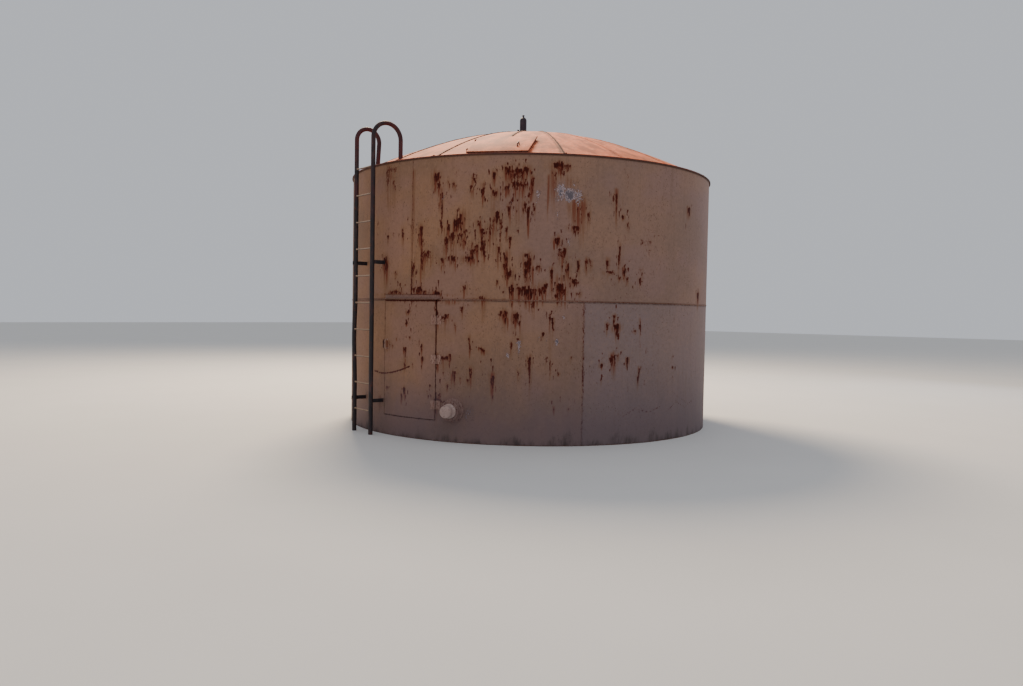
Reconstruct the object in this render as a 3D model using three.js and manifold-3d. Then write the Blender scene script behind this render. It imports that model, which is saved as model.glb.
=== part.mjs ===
// A ground-level water tank of welded steel: two courses of curved plate, a domed roof of lapped gores,
// a pipe ladder with hooped tops, a cut-out door on three hinges, a roof hatch, a vent and a capped drain.
//
// Millimetres, +Z up. The origin is on the tank's axis at ground level, and the door faces -Y.
// A bearing is an angle in degrees about the axis, from the middle of the door round towards +X.

import * as THREE from 'three';
import { mergeVertices } from 'three/addons/utils/BufferGeometryUtils.js';
import Module from 'manifold-3d';

const wasm = await Module();
wasm.setup();

// Driving sizes of the shell
const TANK_DIAMETER = 4572;
const COURSE_HEIGHT = 1524;
const PLATE = 6;
const SEAT_GAP = 0.3;
const FACET_DEG = 2.5;
const TANK_RADIUS = TANK_DIAMETER / 2;
const TANK_HEIGHT = 2 * COURSE_HEIGHT;
const PLATES_PER_COURSE = 3;
const UPPER_WELD_BEARING = 1.2;
const LOWER_WELD_BEARING = 50.1;

// How far a flat facet lies inside the true circle of the shell, and what keeps two curved faces apart
const FACET_SAG = TANK_RADIUS * (1 - Math.cos(THREE.MathUtils.degToRad(FACET_DEG / 2)));
const FACE_GAP = SEAT_GAP + FACET_SAG;
const CORE_SIDES = 360;
const CORE_ALLOWANCE = 0.1;

// The domed roof
const ROOF_RISE = 660;
const ROOF_POWER = 1.72;
const ROOF_PLATE = 5.5;
const ROOF_EDGE_RADIUS = TANK_RADIUS + 15;
const ROOF_LIP = 8;
const ROOF_FOOT_RADIUS = TANK_RADIUS - 50;
const GORES = 20;
const GORES_PER_SHEET = 2;
const FACETS_PER_GORE = 5;
const ROOF_RINGS = 6;
const GORE_SEAM_BEARING = 25.9;
const CROWN_RADIUS = 330;
const CROWN_LAP = 40;
const CROWN_LIFT = 0.6;

// The door and what closes it
const DOOR = { from: -9.75, to: 9.75, bottom: 222 };
const DOOR_GAP = 6;
const HINGE_HEIGHTS = [343, 834, 1258];
const HINGE_LEAF = { width: 58, height: 92, thickness: 4, sink: 4 };
const HINGE_BARREL_RADIUS = 8;
const HINGE_PIN_RADIUS = 4;
const HINGE_BORE_RADIUS = 4.7;
const HINGE_STANDOFF = 14;
const LATCH_HEIGHT = 1022;
const LATCH_BAR = { width: 22, length: 94, thickness: 9, fromJamb: 16, pivotRadius: 7, pivotRise: 20 };
const DOOR_PULL = { reach: 50, rise: 38, bend: 14, radius: 6, fromEdge: 45, sink: 4 };
const DRIP_LEDGE = { from: -9.4, to: 10.7, bottom: 1530, height: 40, depth: 38, thickness: 5 };

// The capped drain. Its outlines are a radius and a distance out from the shell.
const DRAIN_BEARING = 15.1;
const DRAIN_HEIGHT = 346;
const DRAIN_BORE = 72;
const DRAIN_HOLE = 75;
const DRAIN_PAD = { radius: 127, face: 12, sink: 30 };
const DRAIN_NECK = [[85, DRAIN_PAD.face + SEAT_GAP], [85, 70], [106, 70], [106, 90], [DRAIN_BORE, 90]];
const DRAIN_CAP_FOOT = 90 + SEAT_GAP;
const DRAIN_CAP_OUTER = [[78, DRAIN_CAP_FOOT], [78, 108], [66, 114], [66, 188], [58, 198], [30, 204], [0, 205]];
const DRAIN_CAP_INNER = [[0, 196], [58, 186], [58, DRAIN_CAP_FOOT]];

// The ladder
const LADDER_BEARING = -15.1;
const LADDER_STANDOFF = 150;
const STILE_SPACING = 386;
const STILE_RADIUS = 25;
const RUNG_RADIUS = 8;
const RUNG_COUNT = 10;
const RUNG_PITCH = 304.8;
const FIRST_RUNG_HEIGHT = 262;
const HOOPS = { left: { top: 3486, depth: 288, lean: 16 }, right: { top: 3496, depth: 348, lean: 0 } };
const ARM_HEIGHTS = { lower: 380, upper: 1938 };
const ARM = { height: 42, thickness: 8, sink: 50 };

// The left stile was knocked outwards at mid height: how far, where, and over what half length
const STILE_BOW = { depth: 24, middle: 1080, reach: 520 };
const BENT_RUNG_GAP = 0.5;

// The roof hatch: a flat lid with turned-down edges over a low curb
const HATCH_BEARING = 26;
const HATCH_CENTRE_RADIUS = 1934;
const HATCH_LID = { width: 664, length: 680, sheet: 5, lip: 11, lipThickness: 4 };
const HATCH_CURB = { width: 628, length: 648, wall: 5, rise: 18 };
const HATCH_HOLE = { width: 580, length: 600 };
const HATCH_HINGE = { radius: 7, pin: 4, bore: 4.7, outset: 12, places: [-230, 196], length: 34, web: 5 };
const HATCH_HANDLE = { x: 187, y: -97, reach: 50, rise: 28, bend: 12, radius: 6 };
const ROOF_PIERCING = 160;

// The vent and the lug near it. The vent's outlines are a radius and a distance below its top.
const VENT_PLACE = { x: -90, y: -64 };
const VENT_TOP = 3985;
const VENT_OUTER = [[44, 68], [39, 52], [30, 40], [15, 32], [15, 26]];
const VENT_INNER = [[10, 26], [10, 36], [25, 46], [39, 68]];
const VENT_PLUG = [[0, 40], [9.6, 40], [9.6, 25.7], [11, 25.7], [11, 17], [16, 12], [16, 4], [13, 0], [0, 0]];
const LUG_BEARING = 21.5;
const LUG_RADIUS = 690;
const LUG = { width: 24, thickness: 10, height: 20 };

const PAINT = { color: 0xb0927f, roughness: 0.75, metalness: 0 };
const ROOF_PAINT = { color: 0xcf9f85, roughness: 0.8, metalness: 0 };
const DARK_PIPE = { color: 0x3a2226, roughness: 0.6, metalness: 0.1 };
const RUNG_PAINT = { color: 0xa58a78, roughness: 0.7, metalness: 0 };
const VENT_IRON = { color: 0x2d2730, roughness: 0.6, metalness: 0.2 };

const tank = new THREE.Group();
const radians = THREE.MathUtils.degToRad;

/** The angle in degrees that an arc of this length takes on the tank's outside. */
const arcDegrees = (length) => THREE.MathUtils.radToDeg(length / TANK_RADIUS);

/** The height of the roof's underside at a radius: level at the rim, then a dome. */
const roofUnder = (r) =>
  TANK_HEIGHT + SEAT_GAP + ROOF_RISE * (1 - Math.min(1, r / ROOF_FOOT_RADIUS) ** ROOF_POWER);

/** The height of the roof's upper face at a radius. */
const roofTop = (r) => roofUnder(r) + ROOF_PLATE;

/** The roof's slope at a radius, in radians below level. */
const roofSlope = (r) =>
  Math.atan((ROOF_RISE * ROOF_POWER * (r / ROOF_FOOT_RADIUS) ** (ROOF_POWER - 1)) / ROOF_FOOT_RADIUS);

/** A geometry with its shared vertices merged and no collapsed triangles. */
function closed(geometry) {
  const bare = geometry.clone();
  bare.deleteAttribute('normal');
  bare.deleteAttribute('uv');
  const merged = mergeVertices(bare, 1e-3);
  const old = merged.index.array;
  const kept = [];
  for (let i = 0; i < old.length; i += 3) {
    const [a, b, c] = [old[i], old[i + 1], old[i + 2]];
    if (a !== b && b !== c && c !== a) kept.push(a, b, c);
  }
  merged.setIndex(kept);
  merged.computeVertexNormals();
  return merged;
}

function toSolid(geometry) {
  const g = closed(geometry);
  return new wasm.Manifold(new wasm.Mesh({
    numProp: 3,
    vertProperties: new Float32Array(g.attributes.position.array),
    triVerts: new Uint32Array(g.index.array),
  }));
}

function toGeometry(solid) {
  const { vertProperties, triVerts } = solid.getMesh();
  const geometry = new THREE.BufferGeometry();
  geometry.setAttribute('position', new THREE.BufferAttribute(vertProperties, 3));
  geometry.setIndex(new THREE.BufferAttribute(triVerts, 1));
  geometry.computeVertexNormals();
  return geometry;
}

/** The first geometry with the others taken away. */
const cut = (geometry, ...tools) =>
  toGeometry(tools.reduce((solid, tool) => solid.subtract(toSolid(tool)), toSolid(geometry)));

/** The geometries joined into one. */
const join = (...geometries) => toGeometry(geometries.map(toSolid).reduce((a, b) => a.add(b)));

/** What two geometries have in common. */
const common = (a, b) => toGeometry(toSolid(a).intersect(toSolid(b)));

/** A named piece of the tank, in the group that places it. */
function piece(name, geometry, finish, group = tank) {
  const mesh = new THREE.Mesh(closed(geometry), new THREE.MeshStandardMaterial(finish));
  mesh.name = name;
  group.add(mesh);
  return mesh;
}

/** A group turned about the tank's axis, so that its -Y points outwards at the bearing. */
function facing(bearing) {
  const group = new THREE.Group();
  group.rotation.z = radians(bearing);
  tank.add(group);
  return group;
}

/** A curved slab between two radii, two bearings and two heights. */
function curvedSlab(inner, outer, from, to, bottom, top) {
  const [start, end] = [radians(from - 90), radians(to - 90)];
  const outline = new THREE.Shape();
  outline.absarc(0, 0, outer, start, end, false);
  outline.absarc(0, 0, inner, end, start, true);
  outline.closePath();
  const curveSegments = Math.max(1, Math.ceil((to - from) / FACET_DEG / 2));
  return new THREE.ExtrudeGeometry(outline, { depth: top - bottom, bevelEnabled: false, curveSegments })
    .translate(0, 0, bottom);
}

/** A solid of revolution about Z, from points of radius and height, with a facet edge at a bearing. */
function turned(points, sides, bearing = 0) {
  return new THREE.LatheGeometry(points.map(([r, z]) => new THREE.Vector2(r, z)), sides)
    .rotateX(Math.PI / 2).rotateZ(radians(bearing));
}

/** A box between two corners. */
function block([x0, y0, z0], [x1, y1, z1]) {
  return new THREE.BoxGeometry(x1 - x0, y1 - y0, z1 - z0)
    .translate((x0 + x1) / 2, (y0 + y1) / 2, (z0 + z1) / 2);
}

/** A round bar from one height to another, about a vertical line. */
function upright(radius, x, y, bottom, top, sides = 16) {
  return new THREE.CylinderGeometry(radius, radius, top - bottom, sides)
    .rotateX(Math.PI / 2).translate(x, y, (bottom + top) / 2);
}

/** A round bar along Y, between two places on it. */
const alongY = (radius, x, z, from, to) =>
  new THREE.CylinderGeometry(radius, radius, to - from, 16).translate(x, (from + to) / 2, z);

/** A route of straight stretches between chosen points, for bars and pipes with bends. */
class Route extends THREE.Curve {
  constructor(points) {
    super();
    this.points = points;
    this.steps = points.length - 1;
  }

  getPointAt(u, target = new THREE.Vector3()) {
    return target.copy(this.points[Math.round(u * this.steps)]);
  }

  getTangentAt(u, target = new THREE.Vector3()) {
    const i = Math.round(u * this.steps);
    const here = this.points[i];
    target.set(0, 0, 0);
    if (i > 0) target.add(here.clone().sub(this.points[i - 1]).normalize());
    if (i < this.steps) target.add(this.points[i + 1].clone().sub(here).normalize());
    return target.normalize();
  }
}

/** A round bar bent along a route. */
function bentBar(points, radius, sides) {
  const section = new THREE.Shape();
  for (let i = 0; i < sides; i += 1) {
    const angle = (2 * Math.PI * i) / sides;
    const corner = [radius * Math.cos(angle), radius * Math.sin(angle)];
    if (i === 0) section.moveTo(...corner);
    else section.lineTo(...corner);
  }
  section.closePath();
  const extrudePath = new Route(points);
  return new THREE.ExtrudeGeometry(section, { steps: extrudePath.steps, extrudePath });
}

/** Points of an arc in the YZ plane, from one angle to another, measured from +Y towards +Z. */
function arcPoints(x, y, z, radius, from, to, count) {
  const points = [];
  for (let i = 0; i <= count; i += 1) {
    const angle = radians(from + ((to - from) * i) / count);
    points.push(new THREE.Vector3(x, y + radius * Math.cos(angle), z + radius * Math.sin(angle)));
  }
  return points;
}

/** A bow handle along Y, standing on the level z = 0 with its ends square to it. */
function bowHandle({ reach, rise, bend, radius }) {
  const route = [
    new THREE.Vector3(0, -reach, 0),
    ...arcPoints(0, bend - reach, rise - bend, bend, 180, 90, 4),
    ...arcPoints(0, reach - bend, rise - bend, bend, 90, 0, 4),
    new THREE.Vector3(0, reach, 0),
  ];
  return bentBar(route, radius, 10);
}

// What rests on the shell or the roof is cut to them, with the seat gap between
const coreRadius = TANK_RADIUS + SEAT_GAP + CORE_ALLOWANCE;
const shellCore = turned([[0, -50], [coreRadius, -50], [coreRadius, 4000], [0, 4000]], CORE_SIDES);
const roofRadii = [0, CROWN_RADIUS / 2, CROWN_RADIUS - CROWN_LAP, CROWN_RADIUS];
for (let i = 1; i <= ROOF_RINGS; i += 1) {
  roofRadii.push(CROWN_RADIUS + ((ROOF_FOOT_RADIUS - CROWN_RADIUS) * i) / ROOF_RINGS);
}
roofRadii.push(ROOF_EDGE_RADIUS);
const underRoof = turned(
  [[0, 2000], [ROOF_EDGE_RADIUS, 2000], ...roofRadii.map((r) => [r, roofTop(r) + SEAT_GAP]).reverse()],
  GORES * FACETS_PER_GORE, GORE_SEAM_BEARING,
);

function buildFloor() {
  piece('floor_plate', turned([[0, 0], [TANK_RADIUS, 0], [TANK_RADIUS, PLATE], [0, PLATE]], 72), PAINT);
}

/** The two courses, each of three rolled plates, with the lower one split beside and under the door. */
function buildShell() {
  const inner = TANK_RADIUS - PLATE;
  const span = 360 / PLATES_PER_COURSE;
  const trim = arcDegrees(SEAT_GAP) / 2;
  const foot = PLATE + SEAT_GAP;
  const lowerTop = COURSE_HEIGHT - SEAT_GAP;
  const lower = (from, to, top = lowerTop) =>
    curvedSlab(inner, TANK_RADIUS, from + trim, to - trim, foot, top);
  const upper = (from, to) =>
    curvedSlab(inner, TANK_RADIUS, from + trim, to - trim, COURSE_HEIGHT, TANK_HEIGHT);

  const drainHole = new THREE.CylinderGeometry(DRAIN_HOLE, DRAIN_HOLE, 200, 24)
    .translate(0, -TANK_RADIUS, DRAIN_HEIGHT).rotateZ(radians(DRAIN_BEARING));
  piece('lower_plate_left', lower(LOWER_WELD_BEARING - span, DOOR.from), PAINT);
  piece('lower_plate_right', cut(lower(DOOR.to, LOWER_WELD_BEARING), drainHole), PAINT);
  piece('lower_plate_back_right', lower(LOWER_WELD_BEARING, LOWER_WELD_BEARING + span), PAINT);
  piece('lower_plate_back_left', lower(LOWER_WELD_BEARING + span, LOWER_WELD_BEARING + 2 * span), PAINT);
  piece('door_sill_plate', lower(DOOR.from, DOOR.to, DOOR.bottom), PAINT);

  ['upper_plate_right', 'upper_plate_back', 'upper_plate_left'].forEach((name, i) => {
    const from = UPPER_WELD_BEARING + i * span;
    piece(name, upper(from, from + span), PAINT);
  });
}

/** The gores, two to a sheet, with their edge turned down outside the shell, and the crown plate over them. */
function buildRoof() {
  const goreRadii = roofRadii.slice(2);
  const lipInside = ROOF_EDGE_RADIUS - ROOF_PLATE;
  const lipFoot = TANK_HEIGHT - ROOF_LIP;
  const lip = [[lipInside, roofUnder(lipInside)], [lipInside, lipFoot], [ROOF_EDGE_RADIUS, lipFoot]];
  const ring = turned(
    [...goreRadii.slice(0, -1).map((r) => [r, roofUnder(r)]), ...lip,
      ...goreRadii.map((r) => [r, roofTop(r)]).reverse(), [goreRadii[0], roofUnder(goreRadii[0])]],
    GORES * FACETS_PER_GORE, GORE_SEAM_BEARING,
  );
  const sheets = GORES / GORES_PER_SHEET;
  const half = 180 / sheets;
  const reach = 2 * TANK_RADIUS;
  const apex = SEAT_GAP / 2 / Math.sin(radians(half));
  for (let i = 0; i < sheets; i += 1) {
    const middle = GORE_SEAM_BEARING + 2 * half * i;
    const side = reach * Math.tan(radians(half));
    const wedgeOutline = new THREE.Shape([
      new THREE.Vector2(0, -apex), new THREE.Vector2(-side, -apex - reach), new THREE.Vector2(side, -apex - reach),
    ]);
    const wedge = new THREE.ExtrudeGeometry(wedgeOutline, { depth: 2000, bevelEnabled: false })
      .translate(0, 0, 2500).rotateZ(radians(middle));
    const sheet = common(ring, wedge);
    piece(`roof_gores_${String(i + 1).padStart(2, '0')}`, i === 0 ? cut(sheet, hatchHole()) : sheet, ROOF_PAINT);
  }
  const crown = roofRadii.slice(0, 4);
  const crownUnder = crown.map((r) => [r, roofTop(r) + CROWN_LIFT]);
  const crownTop = crown.map((r) => [r, roofTop(r) + CROWN_LIFT + ROOF_PLATE]).reverse();
  piece('crown_plate', turned([...crownUnder, ...crownTop], 2 * GORES, GORE_SEAM_BEARING), ROOF_PAINT);
}

/** Puts a shape made flat about the origin on the roof, where the hatch is. */
function ontoHatch(geometry) {
  return geometry.rotateX(roofSlope(HATCH_CENTRE_RADIUS))
    .translate(0, -HATCH_CENTRE_RADIUS, roofTop(HATCH_CENTRE_RADIUS) + HATCH_CURB.rise)
    .rotateZ(radians(HATCH_BEARING));
}

function hatchHole() {
  const { width, length } = HATCH_HOLE;
  return ontoHatch(block([-width / 2, -length / 2, -300], [width / 2, length / 2, 100]));
}

/** The hatch's curb, lid, handle and two hinges. Its left edge is hinged, and the handle is near the right one. */
function buildHatch() {
  const curb = HATCH_CURB;
  const lid = HATCH_LID;
  const hinge = HATCH_HINGE;
  const curbBox = (w, l, top) => block([-w / 2, -l / 2, -ROOF_PIERCING], [w / 2, l / 2, top]);
  const frame = ontoHatch(cut(
    curbBox(curb.width, curb.length, 0),
    curbBox(curb.width - 2 * curb.wall, curb.length - 2 * curb.wall, 10).translate(0, 0, -1),
  ));
  piece('hatch_curb', cut(frame, underRoof), PAINT);

  const tray = cut(
    block([-lid.width / 2, -lid.length / 2, SEAT_GAP - lid.lip], [lid.width / 2, lid.length / 2, SEAT_GAP + lid.sheet]),
    block(
      [lid.lipThickness - lid.width / 2, lid.lipThickness - lid.length / 2, -lid.lip - 5],
      [lid.width / 2 - lid.lipThickness, lid.length / 2 - lid.lipThickness, SEAT_GAP],
    ),
  );
  const axisX = -lid.width / 2 - hinge.outset;
  const axisZ = SEAT_GAP + lid.sheet / 2;
  const eyes = hinge.places.map((y) => {
    const eye = join(
      alongY(hinge.radius, axisX, axisZ, y, y + hinge.length),
      block([axisX, y, axisZ - hinge.web / 2], [2 - lid.width / 2, y + hinge.length, axisZ + hinge.web / 2]),
    );
    return cut(eye, alongY(hinge.bore, axisX, axisZ, y - 5, y + hinge.length + 5));
  });
  piece('hatch_lid', ontoHatch(join(tray, ...eyes)), PAINT);

  hinge.places.forEach((y, i) => {
    const post = join(
      block([axisX - 8, y - 10, -ROOF_PIERCING], [axisX + 6, y - SEAT_GAP, axisZ + 6]),
      alongY(hinge.pin, axisX, axisZ, y - 5, y + hinge.length - 2),
    );
    piece(`hatch_hinge_post_${i + 1}`, cut(ontoHatch(post), underRoof), DARK_PIPE);
  });

  const handle = bowHandle(HATCH_HANDLE)
    .translate(HATCH_HANDLE.x, HATCH_HANDLE.y, lid.sheet + 2 * SEAT_GAP);
  piece('hatch_handle', ontoHatch(handle), DARK_PIPE);
}

/** The vent: a swaged pipe with a plug, and the small lug near it. */
function buildVent() {
  const { x, y } = VENT_PLACE;
  const below = (outline) => outline.map(([r, drop]) => [r, VENT_TOP - drop]);
  const [outer, inner] = [below(VENT_OUTER), below(VENT_INNER)];
  const foot = roofTop(Math.hypot(x, y)) + ROOF_PLATE - 20;
  const [footInside, footOutside] = [[inner.at(-1)[0], foot], [outer[0][0], foot]];
  const body = turned([footInside, footOutside, ...outer, ...inner, footInside], 16).translate(x, y, 0);
  const underCrown = underRoof.clone().translate(0, 0, ROOF_PLATE + CROWN_LIFT);
  piece('vent_pipe', cut(body, underCrown), VENT_IRON);
  piece('vent_plug', turned(below(VENT_PLUG), 16).translate(x, y, 0), VENT_IRON);

  const lug = block([-LUG.width / 2, -LUG.thickness / 2, -60], [LUG.width / 2, LUG.thickness / 2, LUG.height])
    .translate(0, -LUG_RADIUS, roofTop(LUG_RADIUS)).rotateZ(radians(LUG_BEARING));
  piece('roof_lug', cut(lug, underRoof), VENT_IRON);
}

/** The door, its hinges and its latch, and the drip ledge over it. */
function buildDoor() {
  const [leafFrom, leafTo] = [DOOR.from + arcDegrees(DOOR_GAP), DOOR.to - arcDegrees(DOOR_GAP)];
  piece('door_leaf', curvedSlab(
    TANK_RADIUS - PLATE, TANK_RADIUS, leafFrom, leafTo, DOOR.bottom + DOOR_GAP, COURSE_HEIGHT - DOOR_GAP,
  ), PAINT);

  const hingeBearing = DOOR.to - arcDegrees(DOOR_GAP / 2);
  const { width, height, thickness, sink } = HINGE_LEAF;
  const axisY = -TANK_RADIUS - HINGE_STANDOFF;
  const face = -TANK_RADIUS - SEAT_GAP;
  HINGE_HEIGHTS.forEach((z, i) => {
    const middle = z + height / 2;
    const group = facing(hingeBearing);
    const leaf = (side, bottom, top) => {
      const near = side * (DOOR_GAP / 2 + 1);
      const far = side * (width + DOOR_GAP / 2);
      const [x0, x1] = [Math.min(near, far), Math.max(near, far)];
      const knuckle = upright(HINGE_BARREL_RADIUS, 0, axisY, bottom, top);
      const web = side * (HINGE_BARREL_RADIUS - 1);
      const [w0, w1] = [Math.min(near, web), Math.max(near, web)];
      return join(
        cut(block([x0, face - thickness, z], [x1, face + sink, z + height]), shellCore),
        block([w0, axisY, bottom], [w1, face - thickness / 2, top]),
        knuckle,
      );
    };
    const pin = upright(HINGE_PIN_RADIUS, 0, axisY, z + 10, z + height - 4, 12);
    const bore = upright(HINGE_BORE_RADIUS, 0, axisY, z, z + height + 5, 12);
    piece(`door_hinge_fixed_${i + 1}`, join(leaf(1, z, middle - SEAT_GAP), pin), PAINT, group);
    piece(`door_hinge_moving_${i + 1}`, cut(leaf(-1, middle, z + height), bore), PAINT, group);
  });

  const bar = join(
    block(
      [-LATCH_BAR.width / 2, face - LATCH_BAR.thickness, LATCH_HEIGHT - LATCH_BAR.length / 2],
      [LATCH_BAR.width / 2, face - 2, LATCH_HEIGHT + LATCH_BAR.length / 2],
    ),
    new THREE.CylinderGeometry(LATCH_BAR.pivotRadius, LATCH_BAR.pivotRadius, 16, 12)
      .translate(0, face - 6, LATCH_HEIGHT + LATCH_BAR.pivotRise),
  );
  piece('latch_bar', cut(bar, shellCore), DARK_PIPE, facing(DOOR.from - arcDegrees(LATCH_BAR.fromJamb)));

  const pull = bowHandle(DOOR_PULL).rotateX(Math.PI / 2)
    .translate(0, DOOR_PULL.sink - TANK_RADIUS, LATCH_HEIGHT);
  piece('door_pull', cut(pull, shellCore), PAINT, facing(leafFrom + arcDegrees(DOOR_PULL.fromEdge)));

  const { from, to, bottom, height: tall, depth, thickness: thin } = DRIP_LEDGE;
  const inner = TANK_RADIUS + FACE_GAP;
  piece('drip_ledge', join(
    curvedSlab(inner, inner + thin, from, to, bottom, bottom + tall),
    curvedSlab(inner, inner + depth, from, to, bottom, bottom + thin),
  ), PAINT);
}

/** The drain: a pad on the shell, a flanged neck and a cap. */
function buildDrain() {
  const group = facing(DRAIN_BEARING);
  const outwards = (points, sides) =>
    new THREE.LatheGeometry(points.map(([r, out]) => new THREE.Vector2(r, out)), sides)
      .rotateX(Math.PI).translate(0, -TANK_RADIUS, DRAIN_HEIGHT);
  const { radius, face, sink } = DRAIN_PAD;
  const padOutline = [[DRAIN_BORE, -sink], [radius, -sink], [radius, face], [DRAIN_BORE, face], [DRAIN_BORE, -sink]];
  piece('drain_pad', cut(outwards(padOutline, 32), shellCore), PAINT, group);
  const neckFoot = [DRAIN_BORE, DRAIN_NECK[0][1]];
  piece('drain_neck', outwards([neckFoot, ...DRAIN_NECK, neckFoot], 24), PAINT, group);
  piece('drain_cap', outwards([...DRAIN_CAP_OUTER, ...DRAIN_CAP_INNER, DRAIN_CAP_OUTER[0]], 24), PAINT, group);
}

/** How far the left stile stands out of line at a height. */
function stileBow(z) {
  const { depth, middle, reach } = STILE_BOW;
  const from = Math.abs(z - middle) / reach;
  return from < 1 ? depth * Math.cos((from * Math.PI) / 2) ** 2 : 0;
}

/** The ladder: two pipes bent over the rim into hoops, rungs between them and arms to the shell. */
function buildLadder() {
  const group = facing(LADDER_BEARING);
  const front = -TANK_RADIUS - LADDER_STANDOFF;
  const rungHeights = Array.from({ length: RUNG_COUNT }, (_, i) => FIRST_RUNG_HEIGHT + RUNG_PITCH * i);
  const bentHeights = rungHeights.filter((z) => z < TANK_HEIGHT - COURSE_HEIGHT + RUNG_PITCH);
  for (const [side, name] of [[-1, 'left'], [1, 'right']]) {
    const { top, depth, lean } = HOOPS[name];
    const x = (side * STILE_SPACING) / 2;
    const bend = depth / 2;
    const route = [
      new THREE.Vector3(x, front, 0),
      ...(side < 0 ? bentHeights : []).map((z) => new THREE.Vector3(x - stileBow(z), front, z)),
      ...arcPoints(x, front + bend, top - bend, bend, 180, 0, 12),
      new THREE.Vector3(x, front + depth - lean, TANK_HEIGHT),
    ];
    const roof = underRoof.clone().rotateZ(radians(-LADDER_BEARING));
    piece(`ladder_stile_${name}`, cut(bentBar(route, STILE_RADIUS, 14), roof), DARK_PIPE, group);

    const core = shellCore.clone().rotateZ(radians(-LADDER_BEARING));
    // The left arms lap the stile's outer side; the right ones butt against its back, out of the door's way
    for (const [level, z] of Object.entries(ARM_HEIGHTS)) {
      const lap = x - STILE_RADIUS - SEAT_GAP - stileBow(z);
      const [x0, x1] = side < 0 ? [lap - ARM.thickness, lap] : [x - ARM.thickness / 2, x + ARM.thickness / 2];
      const y0 = side < 0 ? front - STILE_RADIUS : front + STILE_RADIUS + SEAT_GAP;
      const arm = block([x0, y0, z - ARM.height / 2], [x1, ARM.sink - TANK_RADIUS, z + ARM.height / 2]);
      piece(`ladder_arm_${level}_${name}`, cut(arm, core), DARK_PIPE, group);
    }
  }
  rungHeights.forEach((z, i) => {
    const bow = stileBow(z);
    const left = STILE_RADIUS + (bow > 0 ? BENT_RUNG_GAP : SEAT_GAP) - STILE_SPACING / 2 - bow;
    const right = STILE_SPACING / 2 - STILE_RADIUS - SEAT_GAP;
    const rung = new THREE.CylinderGeometry(RUNG_RADIUS, RUNG_RADIUS, right - left, 12).rotateZ(Math.PI / 2)
      .translate((left + right) / 2, front, z);
    piece(`ladder_rung_${String(i + 1).padStart(2, '0')}`, rung, RUNG_PAINT, group);
  });
}

buildFloor();
buildShell();
buildRoof();
buildHatch();
buildVent();
buildDoor();
buildDrain();
buildLadder();

export default tank;
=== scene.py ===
"""A low welded steel water tank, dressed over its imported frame.

Metres, +Z up. The origin is on the tank's axis at its foot and the door faces -Y. A bearing is an angle in
degrees about the axis, from the middle of the door round towards +X.
"""

import logging
import math
from dataclasses import dataclass, field
from enum import Enum
from functools import partial
from typing import Iterable, Optional, Sequence, Union

import bmesh
import bpy
import numpy as np
from mathutils import Matrix, Vector, noise


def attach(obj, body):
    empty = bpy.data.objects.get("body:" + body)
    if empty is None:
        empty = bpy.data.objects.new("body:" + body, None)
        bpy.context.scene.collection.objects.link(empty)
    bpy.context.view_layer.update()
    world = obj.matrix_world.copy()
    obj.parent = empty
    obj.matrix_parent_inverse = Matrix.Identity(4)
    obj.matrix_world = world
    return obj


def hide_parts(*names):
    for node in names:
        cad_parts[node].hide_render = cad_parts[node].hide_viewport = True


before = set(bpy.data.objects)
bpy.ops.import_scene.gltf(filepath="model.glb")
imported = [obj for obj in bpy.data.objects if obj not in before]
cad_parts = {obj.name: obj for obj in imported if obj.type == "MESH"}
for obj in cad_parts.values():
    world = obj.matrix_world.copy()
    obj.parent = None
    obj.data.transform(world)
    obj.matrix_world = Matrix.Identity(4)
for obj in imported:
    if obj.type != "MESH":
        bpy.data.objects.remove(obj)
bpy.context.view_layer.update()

log = logging.getLogger("water_tank")

Socket = Union[bpy.types.NodeSocket, float, Sequence[float]]
# A share from 0 to 1, or a pattern with the two values between which it goes from one share to another
Share = Union[bpy.types.NodeSocket, tuple]

# The shell: its radius, the height of a course and of both, and its plates' thickness
RADIUS = 2.286
COURSE = 1.524
HEIGHT = 2 * COURSE
PLATE = 0.006
# The dome: its rise, the power of its curve, where it meets the shell, its edge, its sheet and its turned-down lip
ROOF_RISE = 0.660
ROOF_POWER = 1.72
ROOF_FOOT = 2.236
ROOF_EDGE = RADIUS + 0.015
ROOF_PLATE = 0.0055
ROOF_LIP = 0.008
# The number of gores, and the bearing of the first seam between them
GORES = 20
GORE_SEAM = 25.9
# The door's opening: the bearing of its sides and the height of its sill
JAMB = 9.75
SILL = 0.222
# The drain's bearing and height
DRAIN_BEARING = 15.1
DRAIN_HEIGHT = 0.346
# How far apart two plates stand so that they don't share a face
SEAT = 0.0003
FULL_TURN = 2 * math.pi
# Millimetres in a metre, and in a degree on the shell
MM = 1000
DEGREE_MM = math.radians(1) * RADIUS * MM
# How close two points are taken to be one
TOUCHING = 1e-6
# What the noise that weld beads wander by starts from
WANDER_SEED = 7


class Body(Enum):
    """The bodies of the frame that a piece can ride on."""

    TANK = "tank"
    DOOR = "door"
    HATCH = "hatch"


class Slot(Enum):
    """The record's material slots."""

    PAINT = "tank_paint"
    ROOF = "roof_paint"
    PIPE = "pipe_paint"
    RUNG = "rung_paint"
    IRON = "vent_iron"


def roof_top(radius: float) -> float:
    """Returns the height of the roof's upper face at a radius."""
    return HEIGHT + SEAT + ROOF_PLATE + ROOF_RISE * (1 - min(1.0, radius / ROOF_FOOT) ** ROOF_POWER)


def roof_slope(radius: float) -> float:
    """Returns the roof's slope at a radius, in radians below level."""
    return math.atan(ROOF_RISE * ROOF_POWER * (radius / ROOF_FOOT) ** (ROOF_POWER - 1) / ROOF_FOOT)


def at(radius: float, bearing: float, height: float) -> Vector:
    """Returns the point at a radius, a bearing and a height."""
    turn = math.radians(bearing)
    return Vector((radius * math.sin(turn), -radius * math.cos(turn), height))


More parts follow.
